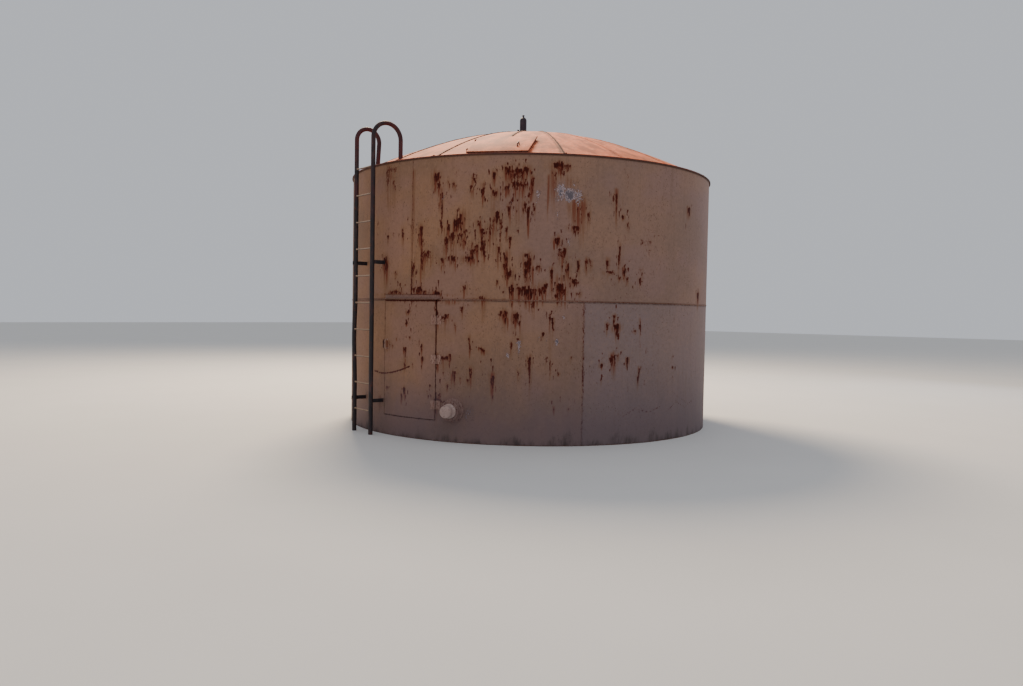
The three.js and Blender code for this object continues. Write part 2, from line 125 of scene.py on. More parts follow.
def facing(bearing: float) -> Matrix:
    """Returns the turn about the tank's axis that brings -Y to a bearing."""
    return Matrix.Rotation(math.radians(bearing), 4, "Z")


def arc(length: float) -> float:
    """Returns the degrees that an arc of this length takes on the shell."""
    return math.degrees(length / RADIUS)


def steps(low: float, high: float, count: int) -> list[float]:
    """Returns the ends and the places between them that divide a range into equal steps."""
    return [low + (high - low) * i / count for i in range(count + 1)]


def linear(code: str) -> tuple[float, float, float, float]:
    """Turns an sRGB hex colour into linear RGBA.

    Args:
        code: Six hex digits.

    Returns:
        The colour in linear light, with an alpha of 1.
    """
    parts = [int(code[i:i + 2], 16) / 255 for i in (0, 2, 4)]
    return (*(c / 12.92 if c <= 0.04045 else ((c + 0.055) / 1.055) ** 2.4 for c in parts), 1.0)


# ---- Finishes


def add(tree: bpy.types.NodeTree, kind: str, inputs: Optional[dict] = None, out: Union[int, str] = 0,
        **settings: object) -> bpy.types.NodeSocket:
    """Adds a node with its settings and links.

    Args:
        tree: The material's node tree.
        kind: The node's type, without its ShaderNode prefix.
        inputs: Values or sockets for its inputs, by name or number.
        out: The output that is wanted.
        **settings: The node's own properties.

    Returns:
        The wanted output.
    """
    node = tree.nodes.new("ShaderNode" + kind)
    for name, value in settings.items():
        setattr(node, name, value)
    for key, value in (inputs or {}).items():
        if isinstance(value, bpy.types.NodeSocket):
            tree.links.new(value, node.inputs[key])
        else:
            node.inputs[key].default_value = value
    return node.outputs[out]


@dataclass(frozen=True)
class Grain:
    """A fractal noise, given by how large its blobs are on the real surface, in millimetres."""

    across: float
    upright: float
    detail: float = 4.0
    rough: float = 0.5


class Brushwork:
    """A material while it is put together: its paint first, then the coats of dirt and rust over it."""

    def __init__(self, name: str, grains: dict[str, Grain], on_slope: bool = False) -> None:
        """Starts the material and its patterns.

        Args:
            name: The material's name.
            grains: The noises that it uses.
            on_slope: Whether the noises follow the roof's slope.
        """
        self.material = bpy.data.materials.new(name)
        self.material.use_nodes = True
        self.tree = self.material.node_tree
        self.tree.nodes.clear()
        self.add = partial(add, self.tree)
        self.place = self.add("TexCoord", out="Object")
        self.height = self.add("SeparateXYZ", {0: self.place}, "Z")
        self.bearing: Optional[bpy.types.NodeSocket] = None
        self.reach: Optional[bpy.types.NodeSocket] = None
        spread = self.slope() if on_slope else self.place
        self.grain = {}
        for key, grain in grains.items():
            wide, tall = MM / grain.across, MM / grain.upright
            fit = self.add("Mapping", {"Vector": spread, "Scale": (wide, wide, tall)})
            self.grain[key] = self.add("TexNoise", {"Vector": fit, "Scale": 1.0, "Detail": grain.detail,
                                                    "Roughness": grain.rough})

    def slope(self) -> bpy.types.NodeSocket:
        """Finds the bearing in radians and the distance from the axis, for patterns that follow the roof.

        Returns:
            Coordinates that run round the roof as 1.5 m from its axis, up, and out from the axis.
        """
        x = self.add("SeparateXYZ", {0: self.place}, "X")
        y = self.add("Math", {0: self.add("SeparateXYZ", {0: self.place}, "Y"), 1: -1.0}, operation="MULTIPLY")
        self.bearing = self.add("Math", {0: x, 1: y}, operation="ARCTAN2")
        flat = self.add("CombineXYZ", {0: x, 1: y})
        self.reach = self.add("VectorMath", {0: flat}, "Value", operation="LENGTH")
        around = self.add("Math", {0: self.bearing, 1: 1.5}, operation="MULTIPLY")
        return self.add("CombineXYZ", {0: around, 1: self.height, 2: self.reach})

    def cover(self, *shares: Share) -> bpy.types.NodeSocket:
        """Finds how far a coat covers.

        Args:
            *shares: What it depends on. The result is their product.

        Returns:
            The coat's share, from 0 to 1.
        """
        whole = None
        for share in shares:
            if isinstance(share, tuple):
                share = self.add("MapRange", dict(enumerate(share)), interpolation_type="SMOOTHSTEP")
            whole = share if whole is None else self.add("Math", {0: whole, 1: share}, operation="MULTIPLY")
        return whole

    def dry(self, base: str, coats: Sequence[tuple], roughness: Socket,
            relief: Sequence[tuple[Socket, float, float]] = (), specular: float = 0.5) -> bpy.types.Material:
        """Lays the coats on the base colour, adds the relief and connects the shader.

        Args:
            base: The paint's colour in hex.
            coats: Each coat's colour in hex and its shares, the lowest coat first.
            roughness: The roughness.
            relief: Height, strength and depth in metres of each layer of relief, the broadest first.
            specular: The specular level.

        Returns:
            The finished material.
        """
        shader = self.tree.nodes.new("ShaderNodeBsdfPrincipled")
        output = self.tree.nodes.new("ShaderNodeOutputMaterial")
        self.tree.links.new(shader.outputs[0], output.inputs[0])
        colour = linear(base)
        for tone, *shares in coats:
            colour = self.add("Mix", {0: self.cover(*shares), 6: colour, 7: linear(tone)}, 2, data_type="RGBA")
        normal = None
        for height, strength, depth in relief:
            layer = {"Height": height, "Strength": strength, "Distance": depth}
            if normal is not None:
                layer["Normal"] = normal
            normal = self.add("Bump", layer)
        shader.inputs["Specular IOR Level"].default_value = specular
        for key, value in (("Base Color", colour), ("Roughness", roughness), ("Normal", normal)):
            if isinstance(value, bpy.types.NodeSocket):
                self.tree.links.new(value, shader.inputs[key])
            elif value is not None:
                shader.inputs[key].default_value = value
        return self.material


@dataclass(frozen=True)
class ChalkedEnamel:
    """Alkyd enamel brushed on rolled mill plate. Years of sun have left it chalky and nearly matt, water has
    drawn dirt down it, and rust has broken through in ragged spots that bleed downwards."""

    name: str
    paint: str = "8E694F"
    faded: str = "7E5F4A"
    rust: float = 0.0
    foot_darkening: float = 1.0
    # How much the shell's run-off, weld grime and painted shadow under the roof's edge show
    shell_grime_and_shadow: float = 0.0

    def material(self) -> bpy.types.Material:
        """Mixes the finish.

        Returns:
            The material.
        """
        kit = Brushwork(self.name, {
            "fading": Grain(1100, 900, 3), "brush": Grain(38, 38, 6, 0.6), "streak": Grain(48, 900, 5, 0.55),
            "wet": Grain(24, 420, 5, 0.6), "ragged": Grain(13, 34, 7, 0.66), "field": Grain(430, 380, 3),
            "speck": Grain(13, 22, 2), "flake": Grain(17, 20, 8, 0.7), "foot_edge": Grain(110, 300, 7, 0.62),
            "blush": Grain(700, 520, 4), "pit": Grain(5, 5, 3), "buckle": Grain(620, 900, 1),
            "scuff": Grain(60, 16, 6, 0.6), "graze": Grain(15, 34, 7, 0.74)})
        add, grain, height = kit.add, kit.grain, kit.height
        rust_and_shadow_map, run_map, peel_map, plate_tone_and_sky_reflection = (
            add("Attribute", out="Fac", attribute_name=name) for name in ("rust", "run", "peel", "tone"))
        streaked = kit.cover((grain["streak"], 0.54, 0.76, 0, 0.22))
        # How far a point is from the weld between the courses
        from_weld = add("Math", {0: height, 1: COURSE - 0.006}, operation="SUBTRACT")
        from_weld = add("Math", {0: from_weld}, operation="ABSOLUTE")
        # Rust that water has drawn down the paint
        stain = kit.cover(run_map, (grain["wet"], 0.34, 0.62, 0.28, 1))
        # Ragged rust, nearly black where it is thickest and brown at its edge; the painted shadow under the drip ledge
        # is drawn with it
        spots = add("Math", {0: grain["ragged"], 1: 1.7, 2: self.rust - 0.85}, operation="MULTIPLY_ADD")
        spots = add("Math", {0: spots, 1: rust_and_shadow_map}, operation="ADD")
        core = kit.cover((spots, 0.32, 0.44))
        # Places peeled to the primer: pale curls round a slate-grey middle
        loose = add("Math", {0: grain["flake"], 1: 3.6, 2: -2.30}, operation="MULTIPLY_ADD")
        loose = add("Math", {0: peel_map, 1: 1.65, 2: loose}, operation="MULTIPLY_ADD")
        curls = kit.cover((loose, 0.34, 0.5, 0, 0.8))
        # Height above a ragged line at the foot, below which the paint grows darker and greyer
        foot = add("Math", {0: grain["foot_edge"], 1: 0.5, 2: -0.25}, operation="MULTIPLY_ADD")
        foot = add("Math", {0: height, 1: foot}, operation="ADD")
        pits = add("Math", {0: core, 1: grain["pit"]}, operation="MULTIPLY")
        relief = add("Math", {0: curls, 1: -0.8, 2: core}, operation="MULTIPLY_ADD")
        coats = (
            # Sun: the paint faded in broad clouds, with a pink blush, and greyer plates; the greying towards the right
            # is partly painted sky reflection
            (self.faded, (grain["fading"], 0.36, 0.64)), ("86655B", (grain["blush"], 0.42, 0.62, 0, 0.55)),
            ("796E72", plate_tone_and_sky_reflection),
            # Brush marks: pale ridges, dark pocks, streaks and scuffs
            ("9E7C68", (grain["brush"], 0.48, 0.78, 0, 0.28)), ("6C5042", (grain["brush"], 0.28, 0.48, 0.30, 0)),
            ("6A5041", streaked), ("735848", (grain["scuff"], 0.55, 0.75, 0, 0.25)),
            # Grey grazes where the paint has been rubbed
            ("5F4C46", (grain["graze"], 0.56, 0.64, 0, 0.55), (grain["blush"], 0.44, 0.56, 1, 0.15)),
            # Faint run-off below the roof's edge
            ("5E3C2E", (height, HEIGHT - 0.45, HEIGHT, 0, 0.5 * self.shell_grime_and_shadow), streaked),
            # Fine specks, drawn 13 mm wide because the real 5 mm ones would not show in the render
            ("4C2A1E", (grain["speck"], 0.63, 0.70, 0, 0.75), (grain["field"], 0.42, 0.60, 0.25, 1)),
            # Scorched paint and grime along the weld, partly painted shade below its bead
            ("44302A", (from_weld, 0.004, 0.022, 0.8 * self.shell_grime_and_shadow, 0), (grain["brush"], 0.36, 0.58, 0.3, 1)),
            # Painted shadow: a dark line close under the roof's edge
            ("3A2019", (height, HEIGHT - 0.026, HEIGHT - 0.012, 0, 0.6 * self.shell_grime_and_shadow)),
            # Rust: tea-coloured and orange stains, then the spots from their halo to their thickest
            ("724C2C", (stain, 0.02, 0.30, 0, 0.45)), ("692B17", (stain, 0.14, 0.50, 0, 0.85)),
            ("5F2615", (spots, 0.16, 0.42, 0, 0.7)), ("4E1507", core), ("2F0702", (spots, 0.44, 0.80, 0, 0.92)),
            # Peeled paint: the frayed edge, the curls and the primer
            ("3E2A28", (loose, 0.12, 0.32, 0, 0.72)), ("BDA9AA", curls), ("48434B", (loose, 0.52, 0.76, 0, 0.9)),
            # Darker and greyer towards the bottom, and darkest at the very foot
            ("5D5055", (foot, -0.05, 1.05, 0.72 * self.foot_darkening, 0)), ("332A26", (foot, -0.08, 0.09, 0.8 * self.foot_darkening, 0)))
        return kit.dry(self.paint, coats, add("MapRange", {0: core, 3: 0.74, 4: 0.94}), (
            (grain["buckle"], 0.25, 0.02), (grain["brush"], 0.10, 0.0015), (relief, 0.45, 0.0012),
            (pits, 0.5, 0.001)), 0.26)


@dataclass(frozen=True)
class SunBleachedEnamel:
    """The roof's alkyd enamel. Full sun has bleached it to a matt salmon, water has streaked it down the slope,
    and rust seeps from the laps between the gores."""

    name: str
    paint: str = "EA7A49"
    faded: str = "DC6C40"
    laps: float = 1.0

    def material(self) -> bpy.types.Material:
        """Mixes the finish.

        Returns:
            The material.
        """
        kit = Brushwork(self.name, {
            "fading": Grain(900, 1200, 4), "brush": Grain(42, 42, 6, 0.62), "streak": Grain(120, 1500, 7, 0.62),
            "wash": Grain(210, 620, 8, 0.7), "wander": Grain(90, 90, 5), "gap": Grain(220, 260, 3),
            "rust": Grain(30, 40, 8, 0.68), "field": Grain(520, 520, 3), "dent": Grain(600, 800, 1)}, on_slope=True)
        add, grain = kit.add, kit.grain
        # Distance from the nearest lap in metres, which dirt follows in a wandering line
        lap = add("Math", {0: kit.bearing, 1: math.radians(GORE_SEAM)}, operation="SUBTRACT")
        lap = add("Math", {0: lap, 1: math.pi / GORES}, operation="PINGPONG")
        lap = add("Math", {0: lap, 1: kit.reach}, operation="MULTIPLY")
        wander = add("Math", {0: grain["wander"], 1: 0.04, 2: -0.02}, operation="MULTIPLY_ADD")
        lap = add("Math", {0: lap, 1: wander}, operation="ADD")
        worn = kit.cover((grain["rust"], 0.64, 0.70, 0, 0.85), (grain["field"], 0.48, 0.62))
        coats = (
            # Faded clouds and pale brush marks, with dirt washed and streaked down the slope
            (self.faded, (grain["fading"], 0.36, 0.64)), ("F2A686", (grain["brush"], 0.44, 0.68, 0, 0.45)),
            ("B85A2E", (grain["wash"], 0.38, 0.64, 0, 0.75)), ("924427", (grain["streak"], 0.42, 0.62, 0, 0.75)),
            # Ochre dust where the roof stays shaded longest
            ("8F7448", (grain["wash"], 0.36, 0.66, 0, 0.6), (kit.bearing, 0.9, 1.9)),
            # Rust from the laps, less so where they were painted over again, past the third seam
            ("6A3220", (lap, 0.006, 0.045, 0.9 * self.laps, 0), (grain["gap"], 0.36, 0.60, 0.3, 1),
             (kit.bearing, 0.85, 1.0, 1, 0.2)),
            # Rust where the paint is worn, then painted shade darkening the turned-down lip below the roof's edge
            ("6B3320", worn), ("452C2A", (kit.height, HEIGHT + 0.001, HEIGHT + 0.008, 0.92, 0)))
        return kit.dry(self.paint, coats, add("MapRange", {0: worn, 3: 0.76, 4: 0.95}), (
            (grain["dent"], 0.30, 0.02), (grain["brush"], 0.12, 0.0015), (worn, 0.4, 0.001)), 0.3)


@dataclass(frozen=True)
class PipeEnamel:
    """Dark oil enamel on drawn steel pipe: maroon in places and nearly blue-black lower down, with a dull shine and
    rust at the scuffs."""

    name: str
    paint: str = "481D20"
    lower_tone: str = "221D20"
    change: tuple[float, float] = (2.5, 3.7)
    worn_tone: str = "5A3A38"
    scuffs: float = 0.60
    # How much painted shade darkens the faces that point downwards
    underside_shade: float = 0.0

    def material(self) -> bpy.types.Material:
        """Mixes the finish.

        Returns:
            The material.
        """
        kit = Brushwork(self.name, {"coat": Grain(260, 420, 4), "worn": Grain(42, 130, 6, 0.6),
                                    "rust": Grain(20, 40, 8, 0.66)})
        add, grain = kit.add, kit.grain
        # Nearly blue-black lower down, with a ragged change between the two tones
        level = add("Math", {0: grain["coat"], 1: 4.0, 2: -2.0}, operation="MULTIPLY_ADD")
        level = add("Math", {0: level, 1: kit.height}, operation="ADD")
        worn = kit.cover((grain["worn"], 0.48, 0.72, 0, 0.5))
        rust = kit.cover((grain["rust"], self.scuffs, self.scuffs + 0.05, 0, 0.85))
        tilt = add("SeparateXYZ", {0: add("NewGeometry", out="Normal")}, "Z")
        coats = ((self.lower_tone, (level, *self.change, 1, 0)), (self.worn_tone, worn),
                 # Painted shade: faces that point downwards, such as a rung's underside, are darkened; then rust at the
                 # scuffs
                 ("33231D", (tilt, -0.5, 0.35, self.underside_shade, 0)), ("5E2C1A", rust))
        return kit.dry(self.paint, coats, add("MapRange", {0: rust, 3: 0.58, 4: 0.92}), (
            (worn, 0.15, 0.001), (rust, 0.35, 0.0008)), 0.3)


@dataclass(frozen=True)
class RustedWeld:
    """Stick-welded bead on the roof's laps, never well painted: dark brown rust with flecks of salmon paint."""

    name: str = "rusted_weld_bead"

    def material(self) -> bpy.types.Material:
        """Mixes the finish.

        Returns:
            The material.
        """
        kit = Brushwork(self.name, {"fleck": Grain(26, 40, 6, 0.62), "scale": Grain(9, 9, 4)})
        coats = (("8A5340", (kit.grain["fleck"], 0.56, 0.66, 0, 0.5)),)
        return kit.dry("3E1E15", coats, 0.9, ((kit.grain["scale"], 0.5, 0.001),), 0.3)


@dataclass(frozen=True)
class CorrodedPlate:
    """Bare hot-rolled plate that has held water: brown scale, darker where it stayed wet, flaking in sheets."""

    name: str = "corroded_plate_inside"

    def material(self) -> bpy.types.Material:
        """Mixes the finish.

        Returns:
            The material.
        """
        kit = Brushwork(self.name, {"scale": Grain(110, 140, 8, 0.64), "fine": Grain(11, 11, 5)})
        add, grain = kit.add, kit.grain
        # The water stood up to about 2.4 m
        tide = add("Math", {0: grain["scale"], 1: 0.25, 2: kit.height}, operation="MULTIPLY_ADD")
        coats = (("4A2A1E", (grain["scale"], 0.40, 0.62)), ("9A6A48", (grain["fine"], 0.50, 0.72, 0, 0.6)),
                 ("3A2A24", (tide, 2.35, 2.5, 0.45, 0)))
        roughness = add("MapRange", {0: grain["fine"], 1: 0.3, 2: 0.7, 3: 0.82, 4: 0.96})
        return kit.dry("7A4A30", coats, roughness, (
            (grain["scale"], 0.4, 0.003), (grain["fine"], 0.35, 0.001)), 0.25)


@dataclass(frozen=True)
class PaleFloor:
    """Plain matt studio floor, pale and even."""

    name: str = "pale_studio_floor"

    def material(self) -> bpy.types.Material:
        """Mixes the finish.

        Returns:
            The material.
        """
        kit = Brushwork(self.name, {"even": Grain(1200, 1200)})
        cloud = kit.add("MapRange", {0: kit.grain["even"], 1: 0.3, 2: 0.7, 4: 0.5})
        return kit.dry("DAD8D4", (("D4D2CE", cloud),), 0.9, (), 0.2)


def made(finish: Union[ChalkedEnamel, SunBleachedEnamel, PipeEnamel, RustedWeld, CorrodedPlate, PaleFloor]) -> field:
    """Returns a field that holds a finish's material."""
    return field(default_factory=finish.material)


@dataclass
class Finishes:
    """Every finish of the tank, made once."""

    shell: bpy.types.Material = made(ChalkedEnamel("chalked_enamel_shell", shell_grime_and_shadow=1))
    fittings: bpy.types.Material = made(ChalkedEnamel("chalked_enamel_fittings", "A5877A", "8D6F62", 0.20, 0.8))
    hinges: bpy.types.Material = made(ChalkedEnamel("chalked_enamel_hinges", "B39686", "97796A", 0.20, 0.5))
    beads: bpy.types.Material = made(ChalkedEnamel("chalked_enamel_weld_beads", "7A5A4A", "5E4032", 0.20, 0))
    ledge: bpy.types.Material = made(ChalkedEnamel("chalked_enamel_ledge", "8C7165", "7A6056", 0.10, 0))
    drain: bpy.types.Material = made(ChalkedEnamel("chalked_enamel_drain", "D4C0B8", "BCA8A0", 0.02, 0.15))
    roof: bpy.types.Material = made(SunBleachedEnamel("sun_bleached_enamel_roof"))
    roof_beads: bpy.types.Material = made(RustedWeld())
    hatch: bpy.types.Material = made(SunBleachedEnamel("sun_bleached_enamel_hatch", "EC7D4C", "DE6F44", 0))
    pipe: bpy.types.Material = made(PipeEnamel("pipe_enamel_maroon"))
    rungs: bpy.types.Material = made(
        PipeEnamel("rung_enamel_beige", "B59B87", "A0866F", (0.5, 2.5), "8A6C58", underside_shade=0.85))
    iron: bpy.types.Material = made(PipeEnamel("vent_enamel_dark", "2E2831", "27222B", (0, 9), "4A4048", 0.64))
    latch: bpy.types.Material = made(PipeEnamel("latch_enamel_rusty", "42190F", "2E130D", (0, 9), "5A2A1B", 0.52))
    # Darker rust-brown paint for the hatch's edges, curb and hinge posts, partly painted shade
    hatch_edge_rust_and_shade: bpy.types.Material = made(ChalkedEnamel("chalked_enamel_shaded_hatch_edges", "5E3427", "4C281E", 0.25, 0))
    inside: bpy.types.Material = made(CorrodedPlate())
    floor: bpy.types.Material = made(PaleFloor())


# ---- Weathering of the shell

# Places of the rust spots: bearing in degrees, height, width and length in millimetres, and how solid they are
# from 1 to 10. The peeled places and the stains are given in the same way.
RUST_SPOTS = (
    (-13.8, 2362, 32, 110, 4), (-10, 1936, 56, 136, 9), (-9.5, 1854, 46, 163, 6), (-9.1, 2894, 63, 242, 6),
    (-8.8, 2205, 41, 81, 6), (-8.4, 530, 27, 27, 8), (-7.6, 1024, 79, 82, 4), (-7.5, 2955, 213, 70, 5),
    (-6, 2762, 74, 160, 4), (-5.1, 1809, 33, 54, 6), (-4.4, 1083, 20, 27, 5), (-2.3, 2227, 34, 159, 7),
    (-2.2, 446, 23, 70, 8), (-1.2, 964, 34, 43, 10), (-1.1, 512, 33, 81, 8), (-1, 799, 33, 70, 6),
    (-0.9, 895, 19, 80, 5), (-0.6, 1259, 33, 27, 10), (-0.2, 1381, 36, 37, 9), (0.7, 1101, 21, 27, 6),
    (0.7, 1392, 36, 21, 6), (1.4, 2252, 31, 420, 4), (1.6, 1805, 35, 264, 7),
    (2, 800, 14, 48, 5), (4, 1633, 47, 68, 9), (4.3, 2235, 46, 156, 8), (4.7, 1934, 39, 157, 6),
    (4.7, 2065, 36, 313, 5), (4.9, 1003, 23, 79, 7), (5.2, 872, 29, 47, 10), (5.9, 1998, 148, 104, 7),
    (7.1, 515, 16, 53, 4), (7.9, 586, 19, 31, 9), (9.1, 2813, 61, 128, 10), (9.7, 344, 37, 131, 6),
    (9.9, 1361, 27, 130, 8), (9.9, 2729, 36, 103, 8), (10, 1278, 24, 104, 6), (10.1, 424, 73, 115, 7),
    (10.1, 873, 27, 115, 9), (10.8, 2599, 36, 154, 6), (10.9, 2291, 30, 128, 7), (10.9, 2458, 27, 154, 5),
    (11, 478, 48, 104, 5), (11.2, 1917, 36, 103, 7), (11.6, 1324, 130, 52, 7), (12, 896, 130, 52, 7),
    (12.3, 429, 106, 31, 6), (12.4, 2110, 52, 154, 7), (12.7, 1350, 41, 36, 8), (13, 2748, 35, 76, 6),
    (13.1, 2276, 40, 87, 8), (13.3, 1950, 29, 77, 6), (13.4, 598, 20, 52, 5), (13.8, 847, 23, 67, 4),
    (14, 912, 40, 78, 6), (14.2, 2172, 74, 128, 7), (14.3, 2733, 28, 76, 6), (14.6, 1955, 45, 102, 8),
    (15.3, 715, 40, 114, 8), (15.3, 1242, 23, 77, 5), (15.6, 2317, 78, 143, 10), (16.4, 2184, 72, 92, 7),
    (16.6, 2387, 28, 86, 9), (17, 685, 22, 52, 5), (17.3, 1412, 22, 77, 7), (17.7, 2119, 49, 76, 6),
    (17.9, 1635, 38, 102, 7), (18, 2233, 44, 102, 6), (19.2, 1949, 97, 61, 9), (19.3, 671, 22, 51, 6),
    (19.5, 1112, 19, 77, 6), (19.5, 2688, 32, 101, 6), (19.7, 1023, 24, 102, 5), (20, 744, 32, 128, 7),
    (20, 2017, 64, 101, 7), (20.2, 2788, 37, 76, 6), (21, 1527, 48, 36, 5), (21.2, 2055, 48, 111, 7),
    (21.7, 2308, 37, 101, 7), (22.6, 1018, 32, 36, 7), (22.6, 2219, 37, 111, 8), (22.7, 2660, 37, 141, 8),
    (23, 1528, 68, 86, 6), (23, 2093, 52, 126, 9), (23.2, 2725, 21, 75, 6), (23.4, 989, 32, 46, 10),
    (23.4, 2004, 21, 101, 8), (24.7, 2231, 36, 151, 5), (25.6, 2808, 31, 100, 8), (25.8, 2327, 36, 151, 6),
    (25.9, 2633, 46, 90, 9), (26, 673, 29, 143, 10), (26.1, 609, 16, 102, 6), (26.6, 2394, 36, 110, 9),
    (26.9, 1714, 21, 51, 6), (27.1, 2017, 26, 141, 7), (27.6, 2301, 31, 126, 5), (28, 1384, 31, 71, 8),
    (29, 1867, 36, 76, 8), (29, 2677, 56, 75, 8), (29.1, 1362, 46, 101, 9), (29.1, 1930, 31, 111, 9),
    (29.2, 2244, 20, 75, 8), (29.2, 2862, 61, 100, 9), (29.7, 2452, 25, 125, 7), (30, 1789, 56, 126, 9),
    (30.1, 2144, 20, 85, 8), (30.5, 2557, 35, 75, 6), (30.7, 1623, 46, 136, 9), (31, 1034, 20, 117, 6),
    (31.5, 1225, 36, 177, 3), (31.6, 2807, 151, 150, 6), (32, 1339, 56, 101, 10), (32.1, 2862, 75, 90, 8),
    (32.5, 2712, 176, 90, 8), (32.6, 1119, 20, 51, 7), (32.8, 754, 23, 102, 5), (32.9, 1286, 18, 101, 7),
    (33, 1617, 76, 116, 8), (33.9, 2496, 25, 85, 8), (34.1, 2867, 50, 90, 9), (34.4, 1794, 35, 126, 8),
    (34.6, 2403, 18, 150, 8), (34.7, 1610, 66, 141, 10), (34.7, 1983, 60, 65, 8), (34.8, 2608, 30, 75, 6),
    (34.9, 1882, 65, 176, 9), (35.7, 848, 25, 177, 8), (35.7, 2734, 35, 140, 9), (35.9, 734, 15, 178, 5),
    (36.2, 1475, 30, 126, 6), (36.3, 2472, 23, 75, 6), (36.4, 1601, 76, 126, 9), (37.6, 1871, 35, 50, 7),
    (38.5, 1620, 66, 126, 7), (39.2, 1174, 20, 51, 8), (39.5, 1664, 30, 91, 8), (40.3, 881, 23, 152, 4),
    (40.9, 1332, 18, 101, 8), (41.1, 1781, 25, 151, 9), (41.3, 851, 15, 152, 4), (41.6, 1257, 18, 142, 8),
    (41.6, 2801, 41, 125, 4), (42.4, 393, 15, 51, 8), (42.5, 1586, 36, 76, 7), (42.5, 2152, 46, 70, 10),
    (42.5, 2927, 112, 85, 9), (43.4, 763, 13, 25, 9), (43.4, 1637, 77, 151, 10), (43.5, 2854, 51, 75, 5),
    (43.6, 2002, 92, 136, 6), (44.6, 1600, 26, 101, 8), (44.6, 2041, 26, 75, 7), (44.6, 2918, 87, 60, 8),
    (45.3, 1828, 23, 126, 9), (46, 1745, 21, 76, 6), (46.3, 393, 18, 36, 6), (46.8, 924, 21, 51, 5),
    (47, 1728, 42, 66, 8), (47, 2245, 31, 75, 6), (47.3, 2284, 79, 60, 9), (48.2, 1894, 24, 111, 8),
    (48.2, 2461, 63, 126, 4), (48.3, 1603, 53, 46, 6), (50, 725, 16, 307, 3), (50.1, 572, 16, 154, 4),
    (50.5, 1922, 27, 101, 8), (50.6, 2412, 32, 111, 7), (51.6, 1923, 22, 76, 6), (55.2, 693, 14, 52, 5),
    (55.2, 850, 23, 41, 10), (56.4, 1917, 29, 128, 7), (56.6, 1264, 17, 82, 8), (57.5, 1839, 104, 36, 7),
    (57.9, 2608, 20, 102, 5), (58.3, 898, 26, 124, 9), (58.7, 1353, 21, 77, 9), (58.7, 2572, 20, 229, 8),
    (59.1, 914, 21, 129, 9), (59.5, 1255, 60, 67, 10), (59.7, 1193, 33, 103, 9), (59.8, 1973, 21, 154, 6),
    (60, 934, 21, 78, 8), (60, 2064, 18, 144, 7), (60.1, 1781, 30, 41, 7), (60.7, 2429, 24, 41, 10),
    (61.6, 1848, 28, 88, 9), (62.1, 2825, 21, 153, 3), (62.4, 2346, 31, 93, 5), (62.5, 1766, 31, 67, 7),
    (63.2, 891, 25, 73, 10), (64, 540, 19, 52, 4), (65.4, 1220, 30, 31, 7), (66.8, 684, 20, 105, 7),
    (66.8, 1759, 30, 68, 7), (67.2, 763, 17, 116, 8), (67.2, 1267, 24, 147, 7), (67.2, 1843, 27, 104, 5),
    (67.4, 1044, 14, 131, 4), (68.6, 2172, 139, 63, 3), (69.6, 1004, 21, 79, 3), (70.1, 2189, 32, 79, 5),
    (80.8, 808, 19, 19, 10), (80.8, 914, 38, 66, 3), (86.7, 2469, 29, 110, 3), (87.6, 2577, 54, 88, 10),
    (96, 1610, 66, 126, 9),
    (-6.9, 1601, 60, 34, 8),
    (-4.9, 1606, 90, 38, 9), (-3.2, 1600, 50, 30, 7), (1.7, 1622, 56, 60, 8), (3.8, 1618, 84, 60, 9),
    (5.6, 1602, 40, 40, 7), (9.7, 1592, 62, 48, 9), (10.4, 1578, 30, 40, 8), (0, 1576, 880, 14, 7),
    (9.6, 1490, 22, 90, 10), (-10.6, 1938, 46, 60, 9), (-9.4, 1880, 26, 120, 7),
)
PEELED_PLACES = (
    (11.3, 2603, 41, 61, 5), (18.8, 327, 246, 129, 5), (24.2, 325, 157, 87, 3), (30, 950, 36, 51, 7),
    (30.3, 2532, 35, 50, 5), (32.8, 985, 35, 76, 6), (32.9, 1061, 46, 101, 8), (36.8, 2550, 30, 75, 4),
    (37.2, 2633, 65, 85, 6), (37.9, 1123, 35, 61, 5), (40.1, 1142, 25, 76, 4), (42.3, 2402, 41, 125, 5),
    (42.3, 2581, 76, 75, 5), (42.8, 1100, 46, 56, 9), (43.2, 2669, 112, 150, 8), (44.5, 1355, 31, 46, 7),
    (44.5, 2091, 41, 75, 3), (45.5, 2635, 155, 125, 10), (45.6, 2143, 62, 75, 5), (46.8, 2750, 104, 100, 4),
    (47.8, 2614, 105, 151, 7),
)
